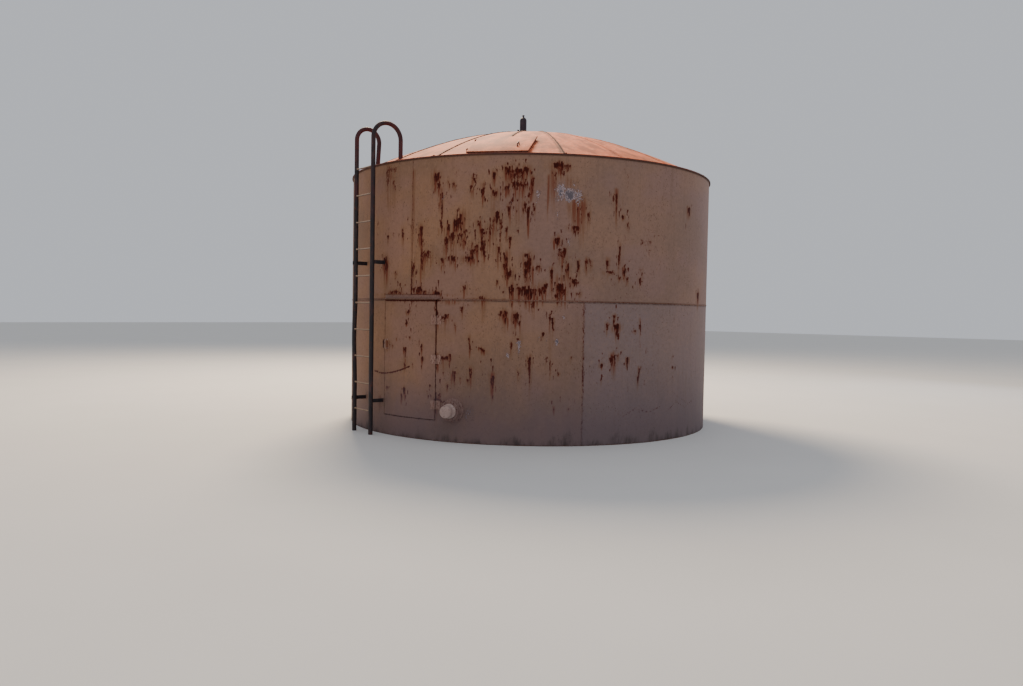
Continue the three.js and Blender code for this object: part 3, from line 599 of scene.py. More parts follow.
STAINS = (
    (-9.7, 1786, 93, 327, 4), (-7.4, 2780, 256, 429, 3), (-2.3, 2153, 61, 319, 3), (-1.2, 873, 45, 214, 3),
    (1.4, 2252, 56, 1366, 4), (4.3, 1934, 73, 575, 5), (5.2, 832, 39, 158, 3), (9.8, 1153, 30, 520, 3),
    (10.9, 373, 180, 183, 4), (10.9, 2445, 53, 564, 4), (12, 1285, 147, 207, 3), (12.2, 845, 147, 208, 3),
    (14.6, 2083, 170, 409, 3), (15.1, 682, 74, 207, 3), (17, 2310, 138, 356, 4), (19.5, 2004, 135, 305, 3),
    (20, 703, 54, 231, 3), (22.8, 2105, 131, 404, 3), (23.1, 1421, 79, 229, 3), (25.9, 2357, 103, 603, 3),
    (26, 584, 31, 230, 4), (29.1, 1324, 102, 228, 3), (29.4, 1854, 76, 403, 4), (31.8, 2707, 327, 274, 4),
    (32.5, 1250, 152, 354, 3), (32.6, 2483, 227, 300, 3), (34.7, 1882, 151, 301, 4),
    (35.2, 1618, 429, 201, 4), (35.9, 772, 51, 406, 4), (39.8, 2637, 35, 399, 5), (41.1, 1079, 61, 507, 2),
    (41.3, 2714, 76, 374, 5), (43.4, 1662, 128, 303, 4), (45.3, 1790, 104, 303, 3),
    (45.4, 2757, 155, 150, 4), (47.9, 2460, 184, 301, 6), (49, 2248, 106, 302, 3), (58.9, 826, 101, 207, 3),
    (59.7, 1883, 179, 308, 2), (59.8, 1136, 48, 233, 4), (60.1, 2422, 60, 511, 2),
    (-9.2, 1840, 90, 260, 6), (-12, 350, 60, 160, 6),
    (-6, 1536, 430, 26, 6), (5, 1536, 430, 26, 5), (30, 1532, 1300, 24, 4), (14, 1500, 240, 60, 5),
    (-8.6, 1015, 66, 120, 6),
)
# Scrapes and lines of rust, and one line of painted shadow under the drip ledge: strength, width in millimetres
# and the points that the line joins
SCRAPES_AND_LEDGE_SHADOW = (
    (7, 13, ((-15.1, 706), (-12.5, 690), (-9.5, 689), (-6.2, 707), (-2.9, 739), (-0.9, 764), (0.8, 788))),
    (3, 7, ((-9.7, 1500), (-9.7, 240))),
    (8, 12, ((9.65, 1518), (9.65, 900))),
    (5, 10, ((9.65, 900), (9.65, 226))),
    (4, 10, ((-9.6, 226), (9.6, 226))),
    # Painted shadow: a dark line under the drip ledge
    (13, 22, ((-9.3, 1520), (10.6, 1520))),
    (6, 13, ((1.2, 1570), (1.2, 1930))),
    (3, 9, ((1.2, 1930), (1.2, 3030))),
    (2.9, 26, ((50.0, 1510), (50.0, 790))), (4.2, 20, ((50.1, 780), (50.1, 640))),
    (2.6, 24, ((50.1, 640), (50.1, 60))),
    (3, 8, ((80, 560), (84, 470), (90, 380))),
    (4, 9, ((62, 300), (66, 380), (71, 330), (76, 390))),
    (4, 9, ((79, 330), (83, 420), (88, 340), (93, 400))),
    (2.6, 8, ((66, 2390), (70, 2300), (76, 2240))), (2.4, 8, ((62, 1930), (66, 2060), (73, 2130))),
    (2.6, 8, ((68, 1790), (73, 1900), (75, 2020))), (2.4, 8, ((60, 2180), (65, 2210), (71, 2190))),
    (2.4, 8, ((72, 2680), (75, 2560), (80, 2480))), (2.6, 8, ((58, 1700), (63, 1820), (69, 1850))),
)
# Narrow runs of rust that fade downwards, given as the scrapes are
RUNS_OF_RUST = (
    (9, 11, ((11.0, 2575), (11.1, 2432), (11.0, 2225))), (9, 12, ((16.7, 2413), (16.6, 2259))),
    (10, 26, ((15.4, 2343), (15.3, 2241))), (9, 18, ((13.2, 2313), (13.3, 2223))),
    (9, 18, ((26.7, 2420), (26.7, 2319))), (9, 13, ((25.6, 2845), (25.6, 2781))),
    (6, 11, ((24.7, 2382), (24.9, 2154))), (9, 15, ((22.8, 2249), (22.8, 2167))),
    (9, 16, ((22.9, 2116), (23.5, 1950))), (8, 9, ((34.7, 2485), (34.6, 2340))),
    (8, 13, ((29.8, 2477), (29.7, 2407))), (8, 18, ((4.7, 2299), (4.6, 2180))), (7, 12, ((4.6, 2180), (4.7, 2022))),
    (6, 11, ((4.6, 1969), (4.8, 1785))), (8, 11, ((30.1, 2167), (30.2, 2091))),
    (8, 10, ((11.2, 1965), (11.4, 1874))), (8, 12, ((20.7, 2257), (20.8, 2103))),
    (8, 13, ((28.5, 2014), (29.4, 1887))), (8, 13, ((8.8, 2852), (9.0, 2786), (10.1, 2706))),
    (8, 10, ((20.1, 2792), (20.8, 2741), (19.8, 2665))), (9, 13, ((41.0, 1847), (41.2, 1706))),
    (8, 9, ((45.5, 1925), (45.6, 1762))), (8, 9, ((58.8, 2665), (58.8, 2545))), (4, 9, ((58.8, 2545), (58.9, 2395))),
    (9, 22, ((42.6, 2152), (42.7, 2108))), (7, 9, ((48.2, 1950), (48.2, 1824))),
    (6, 9, ((42.4, 2055), (44.7, 2073), (43.6, 1997))), (8, 11, ((35.0, 2492), (34.8, 2345))),
    (9, 11, ((26.6, 2446), (26.7, 2328))), (10, 30, ((87.9, 2614), (88.1, 2530))),
    (8, 10, ((60.1, 2099), (60.1, 1892))), (8, 9, ((56.2, 1843), (58.4, 1820), (59.4, 1801))),
    (5, 9, ((67.1, 2201), (67.7, 2141), (69.7, 2164), (71.2, 2194))), (8, 36, ((96.3, 1653), (96.1, 1576))),
    (9, 15, ((61.6, 1859), (61.6, 1804))), (8, 21, ((66.9, 1762), (67.0, 1718))),
    (8, 15, ((60.9, 2438), (60.9, 2409))), (5, 9, ((69.8, 2084), (69.9, 2023))),
    (8, 13, ((58.7, 1380), (58.9, 1318))), (10, 30, ((59.8, 1278), (59.9, 1189))),
    (8, 15, ((59.9, 1189), (60.1, 1107))), (8, 13, ((56.9, 1282), (56.9, 1224))),
    (8, 13, ((67.4, 1285), (67.5, 1166))), (9, 15, ((58.4, 927), (58.4, 839))), (10, 13, ((59.2, 960), (59.3, 834))),
    (8, 10, ((60.2, 955), (60.2, 896))), (10, 19, ((63.2, 926), (63.3, 848))), (9, 21, ((55.4, 858), (55.5, 830))),
    (5, 9, ((55.4, 991), (55.5, 863))), (8, 15, ((67.3, 809), (66.9, 631))), (8, 17, ((35.8, 927), (35.8, 663))),
    (9, 13, ((41.5, 1342), (41.7, 1205))), (5, 12, ((49.9, 782), (50.0, 585))), (8, 12, ((43.3, 774), (43.4, 751))),
    (8, 21, ((80.8, 813), (80.9, 794))), (6, 9, ((41.1, 907), (41.1, 700))), (9, 18, ((0.2, 1399), (-0.0, 1368))),
    (9, 18, ((-0.4, 1274), (-0.5, 1239))), (9, 13, ((5.0, 1024), (5.1, 977))), (9, 19, ((5.4, 893), (5.3, 843))),
    (9, 21, ((-0.8, 986), (-0.8, 937))), (9, 18, ((-0.9, 535), (-1.0, 482))), (9, 15, ((-2.2, 452), (-2.2, 409))),
    (9, 19, ((26.2, 718), (26.3, 618))), (6, 11, ((19.5, 1093), (19.6, 910))), (9, 17, ((22.8, 1014), (23.7, 968))),
    (7, 18, ((15.4, 710), (15.5, 643))), (7, 14, ((20.3, 760), (19.7, 667))), (8, 15, ((7.9, 601), (7.9, 581))),
    (7, 9, ((10.8, 1321), (12.3, 1339), (13.5, 1314))), (7, 9, ((10.7, 1278), (12.0, 1288))),
    (7, 9, ((11.1, 935), (11.6, 895), (12.9, 875))), (8, 12, ((13.9, 935), (14.4, 899))),
    (7, 10, ((10.4, 453), (11.7, 439), (10.7, 403))), (8, 10, ((9.9, 520), (10.1, 333))),
)


@dataclass
class Weathering:
    """Writes how rusted, stained and peeled each point of a piece of shell is, as attributes."""

    seen: tuple[float, float] = (-42.0, 112.0)
    seed: int = 7
    far_patches: int = 40
    far_levels: tuple[int, ...] = (620, 1180, 1650, 2150, 2700)
    drip_width: float = 15.0
    spots: list[tuple[float, ...]] = field(default_factory=lambda: list(RUST_SPOTS))
    drips: list[tuple[float, ...]] = field(default_factory=list)
    stains: list[tuple[float, ...]] = field(default_factory=lambda: list(STAINS))
    greyed: tuple[float, float] = (50.1, 170.1)

    def __post_init__(self) -> None:
        """Adds spots on the far side, makes every spot a bundle of drips and stains the paint below it."""
        dice = np.random.default_rng(self.seed)
        self.cross_to_the_far_side(dice)
        for spot in self.spots:
            self.bundle(spot, dice)

    def cross_to_the_far_side(self, dice: np.random.Generator) -> None:
        """Adds patches of spots out of the photograph's sight.

        Args:
            dice: The generator.
        """
        low, high = self.seen
        for _ in range(self.far_patches):
            centre, level = dice.uniform(high + 4, low + 356), dice.choice(self.far_levels)
            for _ in range(int(dice.integers(4, 12))):
                self.spots.append((centre + dice.normal(0, 2.6), level + dice.normal(0, 130),
                                   float(dice.uniform(20, 60)), float(dice.uniform(50, 170)),
                                   float(dice.uniform(5, 10))))

    def bundle(self, spot: Sequence[float], dice: np.random.Generator) -> None:
        """Makes a spot a bundle of drips, with a stain round it, thin runs below it and specks about it.

        Args:
            spot: Its bearing, height, width, length and strength.
            dice: The generator.
        """
        bearing, height, width, length, solid = spot
        count = max(1, round(width / self.drip_width))
        for i in range(count):
            aside = ((i + 0.5) / count - 0.5) * width * 0.95 + dice.normal(0, 2)
            long = length * dice.uniform(0.5, 1.0)
            top = height + length / 2 - dice.uniform(0, 0.9) * (length - long)
            self.drips.append((bearing + aside / DEGREE_MM, top - long / 2,
                               float(dice.uniform(0.95, 1.35)) * max(13, width / count), long,
                               solid * float(dice.uniform(0.75, 1.12))))
        if solid > 4:
            self.stains.append((bearing, height - 0.1 * length, 1.8 * width + 16, 1.6 * length, 0.52 * solid))
        # Thin runs, fainter on the shell's right
        drawn = 0.95 if bearing < 44 else 0.45
        for _ in range(1 + round(width / 30)):
            self.stains.append((bearing + dice.normal(0, 0.35 * width) / DEGREE_MM,
                                height - dice.uniform(0.2, 0.8) * length, float(dice.uniform(12, 22)),
                                float(dice.uniform(0.6, 1.3)) * length, drawn * solid))
        # Specks, more of them in the upper course
        for _ in range((3 if height > 1550 else 1) + (solid > 7)):
            self.drips.append((bearing + dice.normal(0, 1.2), height + dice.normal(0, 70),
                               float(dice.uniform(10, 17)), float(dice.uniform(25, 75)), 0.75 * solid))

    @staticmethod
    def cover(places: Sequence[Sequence[float]], turn: np.ndarray, height: np.ndarray, drawn: float) -> np.ndarray:
        """Finds how much of each place reaches each point: a round head with a tail that narrows below it.

        Args:
            places: Bearing, height, width, length and strength of each place.
            turn: The points' bearings in degrees.
            height: The points' heights in millimetres.
            drawn: How much the tails narrow, from 0 to 1.

        Returns:
            The strongest share at each point: 0.5 of the strength at a place's edge, more inside it.
        """
        total = np.zeros(len(turn))
        order = np.argsort(turn)
        ranked = turn[order]
        for bearing, level, width, length, strength in places:
            reach = width / DEGREE_MM
            sides = (bearing - reach, bearing + reach)
            bounds = np.searchsorted(ranked, [*sides, *(side - 360 for side in sides)])
            near = np.concatenate((order[bounds[0]:bounds[1]], order[bounds[2]:bounds[3]]))
            head = level + length / 2 - min(width, length) / 2
            near = near[(height[near] < head + width) & (height[near] > level - 0.75 * length)]
            across = ((turn[near] - bearing + 180) % 360 - 180) * DEGREE_MM / (width / 2)
            above = np.maximum(height[near] - head, 0) / (min(width, length) / 2)
            down = np.clip((head - height[near]) / (head - level + length / 2 + 1e-6), 0, 1.5)
            off = np.hypot(across / (1 - drawn * np.minimum(down, 1)), above) + 0.6 * down ** 2
            total[near] = np.maximum(total[near], strength / 10 * np.clip(1.05 - 0.55 * off, 0, 1))
        return total

    @staticmethod
    def trace(lines: Sequence, fading: float, turn: np.ndarray, height: np.ndarray) -> np.ndarray:
        """Finds how much of some scrapes or narrow runs reaches each point.

        Args:
            lines: Strength, width in millimetres and points of each line.
            fading: How much a line fades from its first point to its last.
            turn: The points' bearings in degrees.
            height: The points' heights in millimetres.

        Returns:
            The strongest share at each point.
        """
        total = np.zeros(len(turn))
        spots = np.stack((turn * DEGREE_MM, height), 1)
        for strength, width, line in lines:
            ends = np.array(line, float) * (DEGREE_MM, 1)
            spans = np.hypot(*np.diff(ends, axis=0).T)
            for start, end, gone in zip(ends, ends[1:], np.cumsum(spans) - spans):
                box = np.abs(end - start) / 2 + 1.1 * width
                near = np.flatnonzero((np.abs(spots - (start + end) / 2) < box).all(1))
                way = (end - start) / np.hypot(*(end - start))
                away = spots[near] - start
                along = np.clip(away @ way, 0, np.hypot(*(end - start)))
                off = np.hypot(*(away - along[:, None] * way).T) / (width / 2)
                faded = fading * (gone + along) / spans.sum()
                total[near] = np.maximum(total[near], strength / 10 * np.clip(1.15 - 0.55 * off - faded, 0, 1))
        return total

    def paint(self, mesh: bpy.types.Mesh) -> None:
        """Writes the attributes rust, run, peel and tone on a mesh.

        Args:
            mesh: A mesh whose points have their places on the tank.
        """
        where = np.empty(3 * len(mesh.vertices), np.float32)
        mesh.vertices.foreach_get("co", where)
        where = where.reshape(-1, 3).astype(float)
        turn = np.degrees(np.arctan2(where[:, 0], -where[:, 1]))
        height = where[:, 2] * MM
        maps = {name: self.cover(places, turn, height, drawn) for name, places, drawn in (
            ("rust", self.drips, 0.55), ("run", self.stains, 0.15), ("peel", PEELED_PLACES, 0.1))}
        # The scrapes add rust, and the painted shadow line under the drip ledge
        for lines, fading in ((SCRAPES_AND_LEDGE_SHADOW, 0), (RUNS_OF_RUST, 0.55)):
            maps["rust"] = np.maximum(maps["rust"], self.trace(lines, fading, turn, height))
        # The paint is greyer towards the right, partly as painted sky reflection, and most so on one of the
        # lower plates
        first, last = self.greyed
        maps["tone"] = 0.30 * np.clip((turn - 5) / 60, 0, 1) + 0.30 * (
            (turn > first) & (turn < last) & (height < COURSE * MM))
        for name, values in maps.items():
            layer = mesh.attributes.new(name, "FLOAT", "POINT")
            layer.data.foreach_set("value", values.astype(np.float32))


# ---- Mesh work shared by the sub-assemblies


@dataclass
class Piece:
    """One finished piece: its material slot, its finishes, the nodes it stands for and what it rides on."""

    name: str
    slot: Slot
    finishes: Sequence[bpy.types.Material]
    nodes: Sequence[str] = ()
    body: Body = Body.TANK
    sharp: float = 35.0

    def settle(self, bm: bmesh.types.BMesh, place: Optional[Matrix] = None) -> bpy.types.Object:
        """Makes the object from its bmesh, faces outward, and hands it to the frame.

        Args:
            bm: The shape, which is freed.
            place: Where it is put first, or None to leave it.

        Returns:
            The object.
        """
        if place is not None:
            bmesh.ops.transform(bm, matrix=place, verts=bm.verts)
        bmesh.ops.recalc_face_normals(bm, faces=bm.faces)
        mesh = bpy.data.meshes.new(self.name)
        bm.to_mesh(mesh)
        bm.free()
        for finish in self.finishes:
            mesh.materials.append(finish)
        mesh.shade_smooth()
        mesh.set_sharp_from_angle(angle=math.radians(self.sharp))
        obj = bpy.data.objects.new(self.name, mesh)
        bpy.context.scene.collection.objects.link(obj)
        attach(obj, self.body.value)
        if self.nodes:
            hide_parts(*self.nodes)
        log.info("%s: %d faces on %s", self.name, len(mesh.polygons), self.body.value)
        return obj


def bead(name: str, slot: Slot, finish: bpy.types.Material, path: Sequence[Vector], width: float,
         wander: tuple[float, float]) -> bpy.types.Object:
    """Lays a weld bead on the tank along a path.

    Args:
        name: Its name.
        slot: Its material slot.
        finish: Its finish.
        path: The points that it follows.
        width: Its width.
        wander: How far it wanders, and how often in a metre.

    Returns:
        The bead.
    """
    bm = bmesh.new()
    sweep(bm, path, width, sides=6)
    wobble(bm.verts, *wander)
    return Piece(name, slot, (finish,), sharp=180).settle(bm)


def dress(name: str, finish: bpy.types.Material) -> None:
    """Gives a node that keeps its CAD shape a finish.

    Args:
        name: The node's name.
        finish: The finish.
    """
    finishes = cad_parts[name].data.materials
    finishes.clear()
    finishes.append(finish)


@dataclass(frozen=True)
class BentGrip:
    """A grip bent from round bar, along Y and up Z: how far its ends are from its middle, the height of its bar, the
    radius of its bends, the height of its feet, and the heights at which each tapering weld starts and ends."""

    reach: float
    rise: float
    bend: float
    foot: float
    weld: tuple[float, float]
    bar: float = 0.012
    weld_radii: tuple[float, float] = (0.0105, 0.0062)

    def shape(self) -> bmesh.types.BMesh:
        """Bends the bar and welds its ends.

        Returns:
            The grip.
        """
        bm = bmesh.new()
        turns = np.linspace(0, math.pi / 2, 7)
        half = [(self.bend * (1 - math.cos(a)) - self.reach, self.rise - self.bend * (1 - math.sin(a))) for a in turns]
        path = [(-self.reach, self.foot), *half]
        path += [(self.reach - self.bend * (1 - math.sin(a)), self.rise - self.bend * (1 - math.cos(a))) for a in turns]
        path.append((self.reach, self.foot))
        sweep(bm, [Vector((0, y, z)) for y, z in path], self.bar, sides=16, up=(1, 0, 0))
        for end in (-self.reach, self.reach):
            rod(bm, *(Vector((0, end, height)) for height in self.weld), *self.weld_radii)
        return bm


def rolled_section(outline: Sequence[tuple[float, float]], start: float, end: float,
                   count: int) -> bmesh.types.BMesh:
    """Spins a closed outline of radius and height from one bearing to another and closes its ends.

    Args:
        outline: The section's outline.
        start: The first bearing.
        end: The last bearing.
        count: The number of steps.

    Returns:
        The bar or plate.
    """
    bm = bmesh.new()
    verts = [bm.verts.new(at(radius, start, level)) for radius, level in outline]
    edges = [bm.edges.new(pair) for pair in zip(verts, verts[1:] + verts[:1])]
    bmesh.ops.spin(bm, geom=verts + edges, cent=(0, 0, 0), axis=(0, 0, 1), angle=math.radians(end - start),
                   steps=count)
    bmesh.ops.holes_fill(bm, edges=[edge for edge in bm.edges if edge.is_boundary], sides=0)
    return bm


def sweep(bm: bmesh.types.BMesh, path: Sequence[Vector], width: float, height: Optional[float] = None,
          sides: int = 12, up: Sequence[float] = (0, 0, 1)) -> None:
    """Draws a closed section along a path, ring by ring, with its ends capped.

    Args:
        bm: The mesh that gets the bar.
        path: The points of its centre line.
        width: Its width, across up.
        height: Its thickness along up, or None for a round bar.
        sides: The section's sides. Four make a flat bar.
        up: A direction that is never along the path.
    """
    spread = math.sqrt(0.5) if sides == 4 else 0.5
    frames = []
    for i, point in enumerate(path):
        ahead = (path[min(i + 1, len(path) - 1)] - path[max(i - 1, 0)]).normalized()
        side = Vector(up).cross(ahead).normalized()
        lift = ahead.cross(side)
        turned = Matrix((side * width, lift * (height or width), ahead)).transposed().to_4x4()
        turned.translation = point
        frames.append(turned)
    start = frames[0] @ Matrix.Rotation(math.pi / 4 if sides == 4 else 0, 4, "Z")
    ring = bmesh.ops.create_circle(bm, cap_ends=True, radius=spread, segments=sides, matrix=start)
    edges = list({edge for vert in ring["verts"] for edge in vert.link_edges})
    for before, after in zip(frames, frames[1:]):
        made = bmesh.ops.extrude_edge_only(bm, edges=edges)["geom"]
        verts = {item for item in made if isinstance(item, bmesh.types.BMVert)}
        bmesh.ops.transform(bm, matrix=after @ before.inverted(), verts=list(verts))
        edges = [item for item in made if isinstance(item, bmesh.types.BMEdge) and set(item.verts) <= verts]
    bmesh.ops.holes_fill(bm, edges=edges, sides=0)


def wobble(verts: Iterable[bmesh.types.BMVert], amount: float, scale: float) -> None:
    """Moves points a little at random, as a hand-laid weld wanders."""
    for vert in verts:
        vert.co += amount * noise.noise_vector(vert.co * scale)


def box_between(bm: bmesh.types.BMesh, low: Sequence[float], high: Sequence[float], soft: float = 0.0015,
                place: Matrix = Matrix()) -> None:
    """Adds a box with eased edges between two corners.

    Args:
        bm: The mesh that gets it.
        low: Its lowest corner.
        high: Its highest corner.
        soft: How far its edges are eased.
        place: Where it is put.
    """
    low, high = Vector(low), Vector(high)
    fit = Matrix.Translation((low + high) / 2) @ Matrix.Diagonal((*(high - low), 1))
    made = bmesh.ops.create_cube(bm, size=1, matrix=fit)["verts"]
    edges = list({edge for vert in made for edge in vert.link_edges})
    if soft:
        eased = bmesh.ops.bevel(bm, geom=edges, offset=soft, segments=2, profile=0.5, affect="EDGES", material=-1)
        made = list({vert for face in eased["faces"] for vert in face.verts} | {v for v in made if v.is_valid})
    bmesh.ops.transform(bm, matrix=place, verts=made)


def turned_shape(bm: bmesh.types.BMesh, outline: Sequence[tuple[float, float]], count: int,
                 place: Matrix = Matrix()) -> None:
    """Spins an outline of radius and height about Z into a closed shape.

    Args:
        bm: The mesh that gets it.
        outline: The outline. If its ends are on the axis it is left open there.
        count: The number of steps round.
        place: Where it is put.
    """
    verts = [bm.verts.new((radius, 0, height)) for radius, height in outline]
    edges = [bm.edges.new(pair) for pair in zip(verts, verts[1:])]
    if outline[0][0] > 0 and outline[-1][0] > 0:
        edges.append(bm.edges.new((verts[-1], verts[0])))
    before = set(bm.verts) - set(verts)
    bmesh.ops.spin(bm, geom=verts + edges, cent=(0, 0, 0), axis=(0, 0, 1), angle=FULL_TURN, steps=count,
                   use_merge=True)
    spun = [vert for vert in bm.verts if vert not in before]
    bmesh.ops.remove_doubles(bm, verts=spun, dist=TOUCHING)
    bmesh.ops.transform(bm, matrix=place, verts=[vert for vert in bm.verts if vert not in before])


def rod(bm: bmesh.types.BMesh, start: Vector, end: Vector, radius: float, tip: Optional[float] = None,
        sides: int = 20) -> None:
    """Adds a straight round bar between two points, which may taper.

    Args:
        bm: The mesh that gets it.
        start: The middle of one end.
        end: The middle of the other.
        radius: Its radius at the start.
        tip: Its radius at the end, or None for the same.
        sides: Its sides.
    """
    along = end - start
    fit = Matrix.Translation((start + end) / 2) @ along.to_track_quat("Z", "Y").to_matrix().to_4x4()
    bmesh.ops.create_cone(bm, cap_ends=True, segments=sides, radius1=radius, radius2=tip or radius,
                          depth=along.length, matrix=fit)


def cut_out(piece: bpy.types.Object, cutter: bmesh.types.BMesh) -> None:
    """Cuts a shape out of a piece.

    Args:
        piece: What is cut.
        cutter: The shape taken away, which is freed.
    """
    mesh = bpy.data.meshes.new("cutter")
    cutter.to_mesh(mesh)
    cutter.free()
    tool = bpy.data.objects.new("cutter", mesh)
    bpy.context.scene.collection.objects.link(tool)
    cut = piece.modifiers.new("cut", "BOOLEAN")
    cut.object = tool
    cut.operation = "DIFFERENCE"
    cut.solver = "EXACT"
    whole = piece.evaluated_get(bpy.context.evaluated_depsgraph_get())
    result = bpy.data.meshes.new_from_object(whole)
    piece.modifiers.clear()
    old, piece.data = piece.data, result
    bpy.data.objects.remove(tool)
    for data in (old, mesh):
        bpy.data.meshes.remove(data)


# ---- The shell


@dataclass
class Sheet:
    """One rolled plate of the shell: where it reaches, and the width of its mesh's columns."""

    name: str
    start: float
    end: float
    bottom: float
    top: float
    grid: float


@dataclass
class TankShell:
    """The two courses of rolled plate, their weld beads and the doorway's sill."""

    finishes: Finishes
    weathering: Weathering
    upper_weld: float = 1.2
    lower_weld: float = 50.1
    bead: float = 0.0062
    wander: tuple[float, float] = (0.0035, 45)
    drain_hole: float = 0.075

    def sheets(self) -> list[Sheet]:
        """Lists the plates, those in the photograph's sight with the finer grids.

        Returns:
            The plates.
        """
        low, top = PLATE + SEAT, COURSE - SEAT
        up, down = self.upper_weld, self.lower_weld
        return [
            Sheet("lower_plate_left", down - 120, -JAMB, low, top, 0.009),
            Sheet("lower_plate_right", JAMB, down, low, top, 0.007),
            Sheet("lower_plate_back_right", down, down + 120, low, top, 0.009),
            Sheet("lower_plate_back_left", down + 120, down + 240, low, top, 0.016),
            Sheet("door_sill_plate", -JAMB, JAMB, low, SILL, 0.008),
            Sheet("upper_plate_right", up, up + 120, COURSE, HEIGHT, 0.008),
            Sheet("upper_plate_back", up + 120, up + 240, COURSE, HEIGHT, 0.016),
            Sheet("upper_plate_left", up + 240, up + 360, COURSE, HEIGHT, 0.009),
        ]

    @staticmethod
    def rolled(sheet: Sheet) -> bmesh.types.BMesh:
        """Rolls a plate, with its inner face as its second material.

        Args:
            sheet: The plate.

        Returns:
            Its shape, with rows and columns fine enough for the marks on it.
        """
        trim = arc(SEAT) / 2
        start, end = sheet.start + trim, sheet.end - trim
        rows = max(2, round((sheet.top - sheet.bottom) / (1.6 * sheet.grid)))
        outline = [(RADIUS, level) for level in steps(sheet.bottom, sheet.top, rows)]
        outline += [(RADIUS - PLATE, sheet.top), (RADIUS - PLATE, sheet.bottom)]
        bm = rolled_section(outline, start, end, round(math.radians(end - start) * RADIUS / (8 * sheet.grid)))
        curved = [edge for edge in bm.edges if abs(edge.verts[0].co.z - edge.verts[1].co.z) < TOUCHING
                  and abs(edge.verts[0].co.xy.length - edge.verts[1].co.xy.length) < 0.2 * PLATE]
        bmesh.ops.subdivide_edges(bm, edges=curved, cuts=7, use_grid_fill=True)
        for vert in bm.verts:
            outside = vert.co.xy.length > RADIUS - 0.5 * PLATE
            vert.co.xy = vert.co.xy.normalized() * (RADIUS if outside else RADIUS - PLATE)
        for face in bm.faces:
            face.material_index = int(face.calc_center_median().xy.length < RADIUS - 0.8 * PLATE)
        return bm

    def build(self) -> None:
        """Builds the plates and their welds."""
        looks = (self.finishes.shell, self.finishes.inside)
        for sheet in self.sheets():
            plate = Piece(sheet.name + "_rolled", Slot.PAINT, looks, (sheet.name,)).settle(self.rolled(sheet))
            if sheet.name == "lower_plate_right":
                hole = bmesh.new()
                middle = at(RADIUS, DRAIN_BEARING, DRAIN_HEIGHT)
                reach = at(0.1, DRAIN_BEARING, 0)
                rod(hole, middle - reach, middle + reach, self.drain_hole, sides=48)
                cut_out(plate, hole)
            self.weathering.paint(plate.data)
        self.girth_weld()
        self.upright_welds()

    def girth_weld(self) -> None:
        """Lays the bead all round between the two courses."""
        bm = bmesh.new()
        stand = Matrix.Translation((0, -RADIUS, COURSE)) @ Matrix.Rotation(math.pi / 2, 4, "Y")
        ring = bmesh.ops.create_circle(bm, cap_ends=False, radius=self.bead, segments=6, matrix=stand)["verts"]
        edges = list({edge for vert in ring for edge in vert.link_edges})
        bmesh.ops.spin(bm, geom=ring + edges, cent=(0, 0, 0), axis=(0, 0, 1), angle=FULL_TURN, steps=1100,
                       use_merge=True)
        bmesh.ops.remove_doubles(bm, verts=bm.verts, dist=TOUCHING)
        wobble(bm.verts, *self.wander)
        Piece("girth_weld", Slot.PAINT, (self.finishes.beads,), sharp=180).settle(bm)

    def upright_welds(self) -> None:
        """Lays the upright beads between the plates of each course."""
        bm = bmesh.new()
        for first, low, high in ((self.upper_weld, COURSE, HEIGHT - 0.01), (self.lower_weld, 0.008, COURSE)):
            for bearing in (first, first + 120, first + 240):
                path = [at(RADIUS - 0.001, bearing, z) for z in steps(low, high, round((high - low) / 0.013))]
                sweep(bm, path, 2 * self.bead, sides=6, up=at(1, bearing, 0))
        wobble(bm.verts, *self.wander)
        obj = Piece("upright_welds", Slot.PAINT, (self.finishes.shell,), sharp=180).settle(bm)
        self.weathering.paint(obj.data)


# ---- The roof


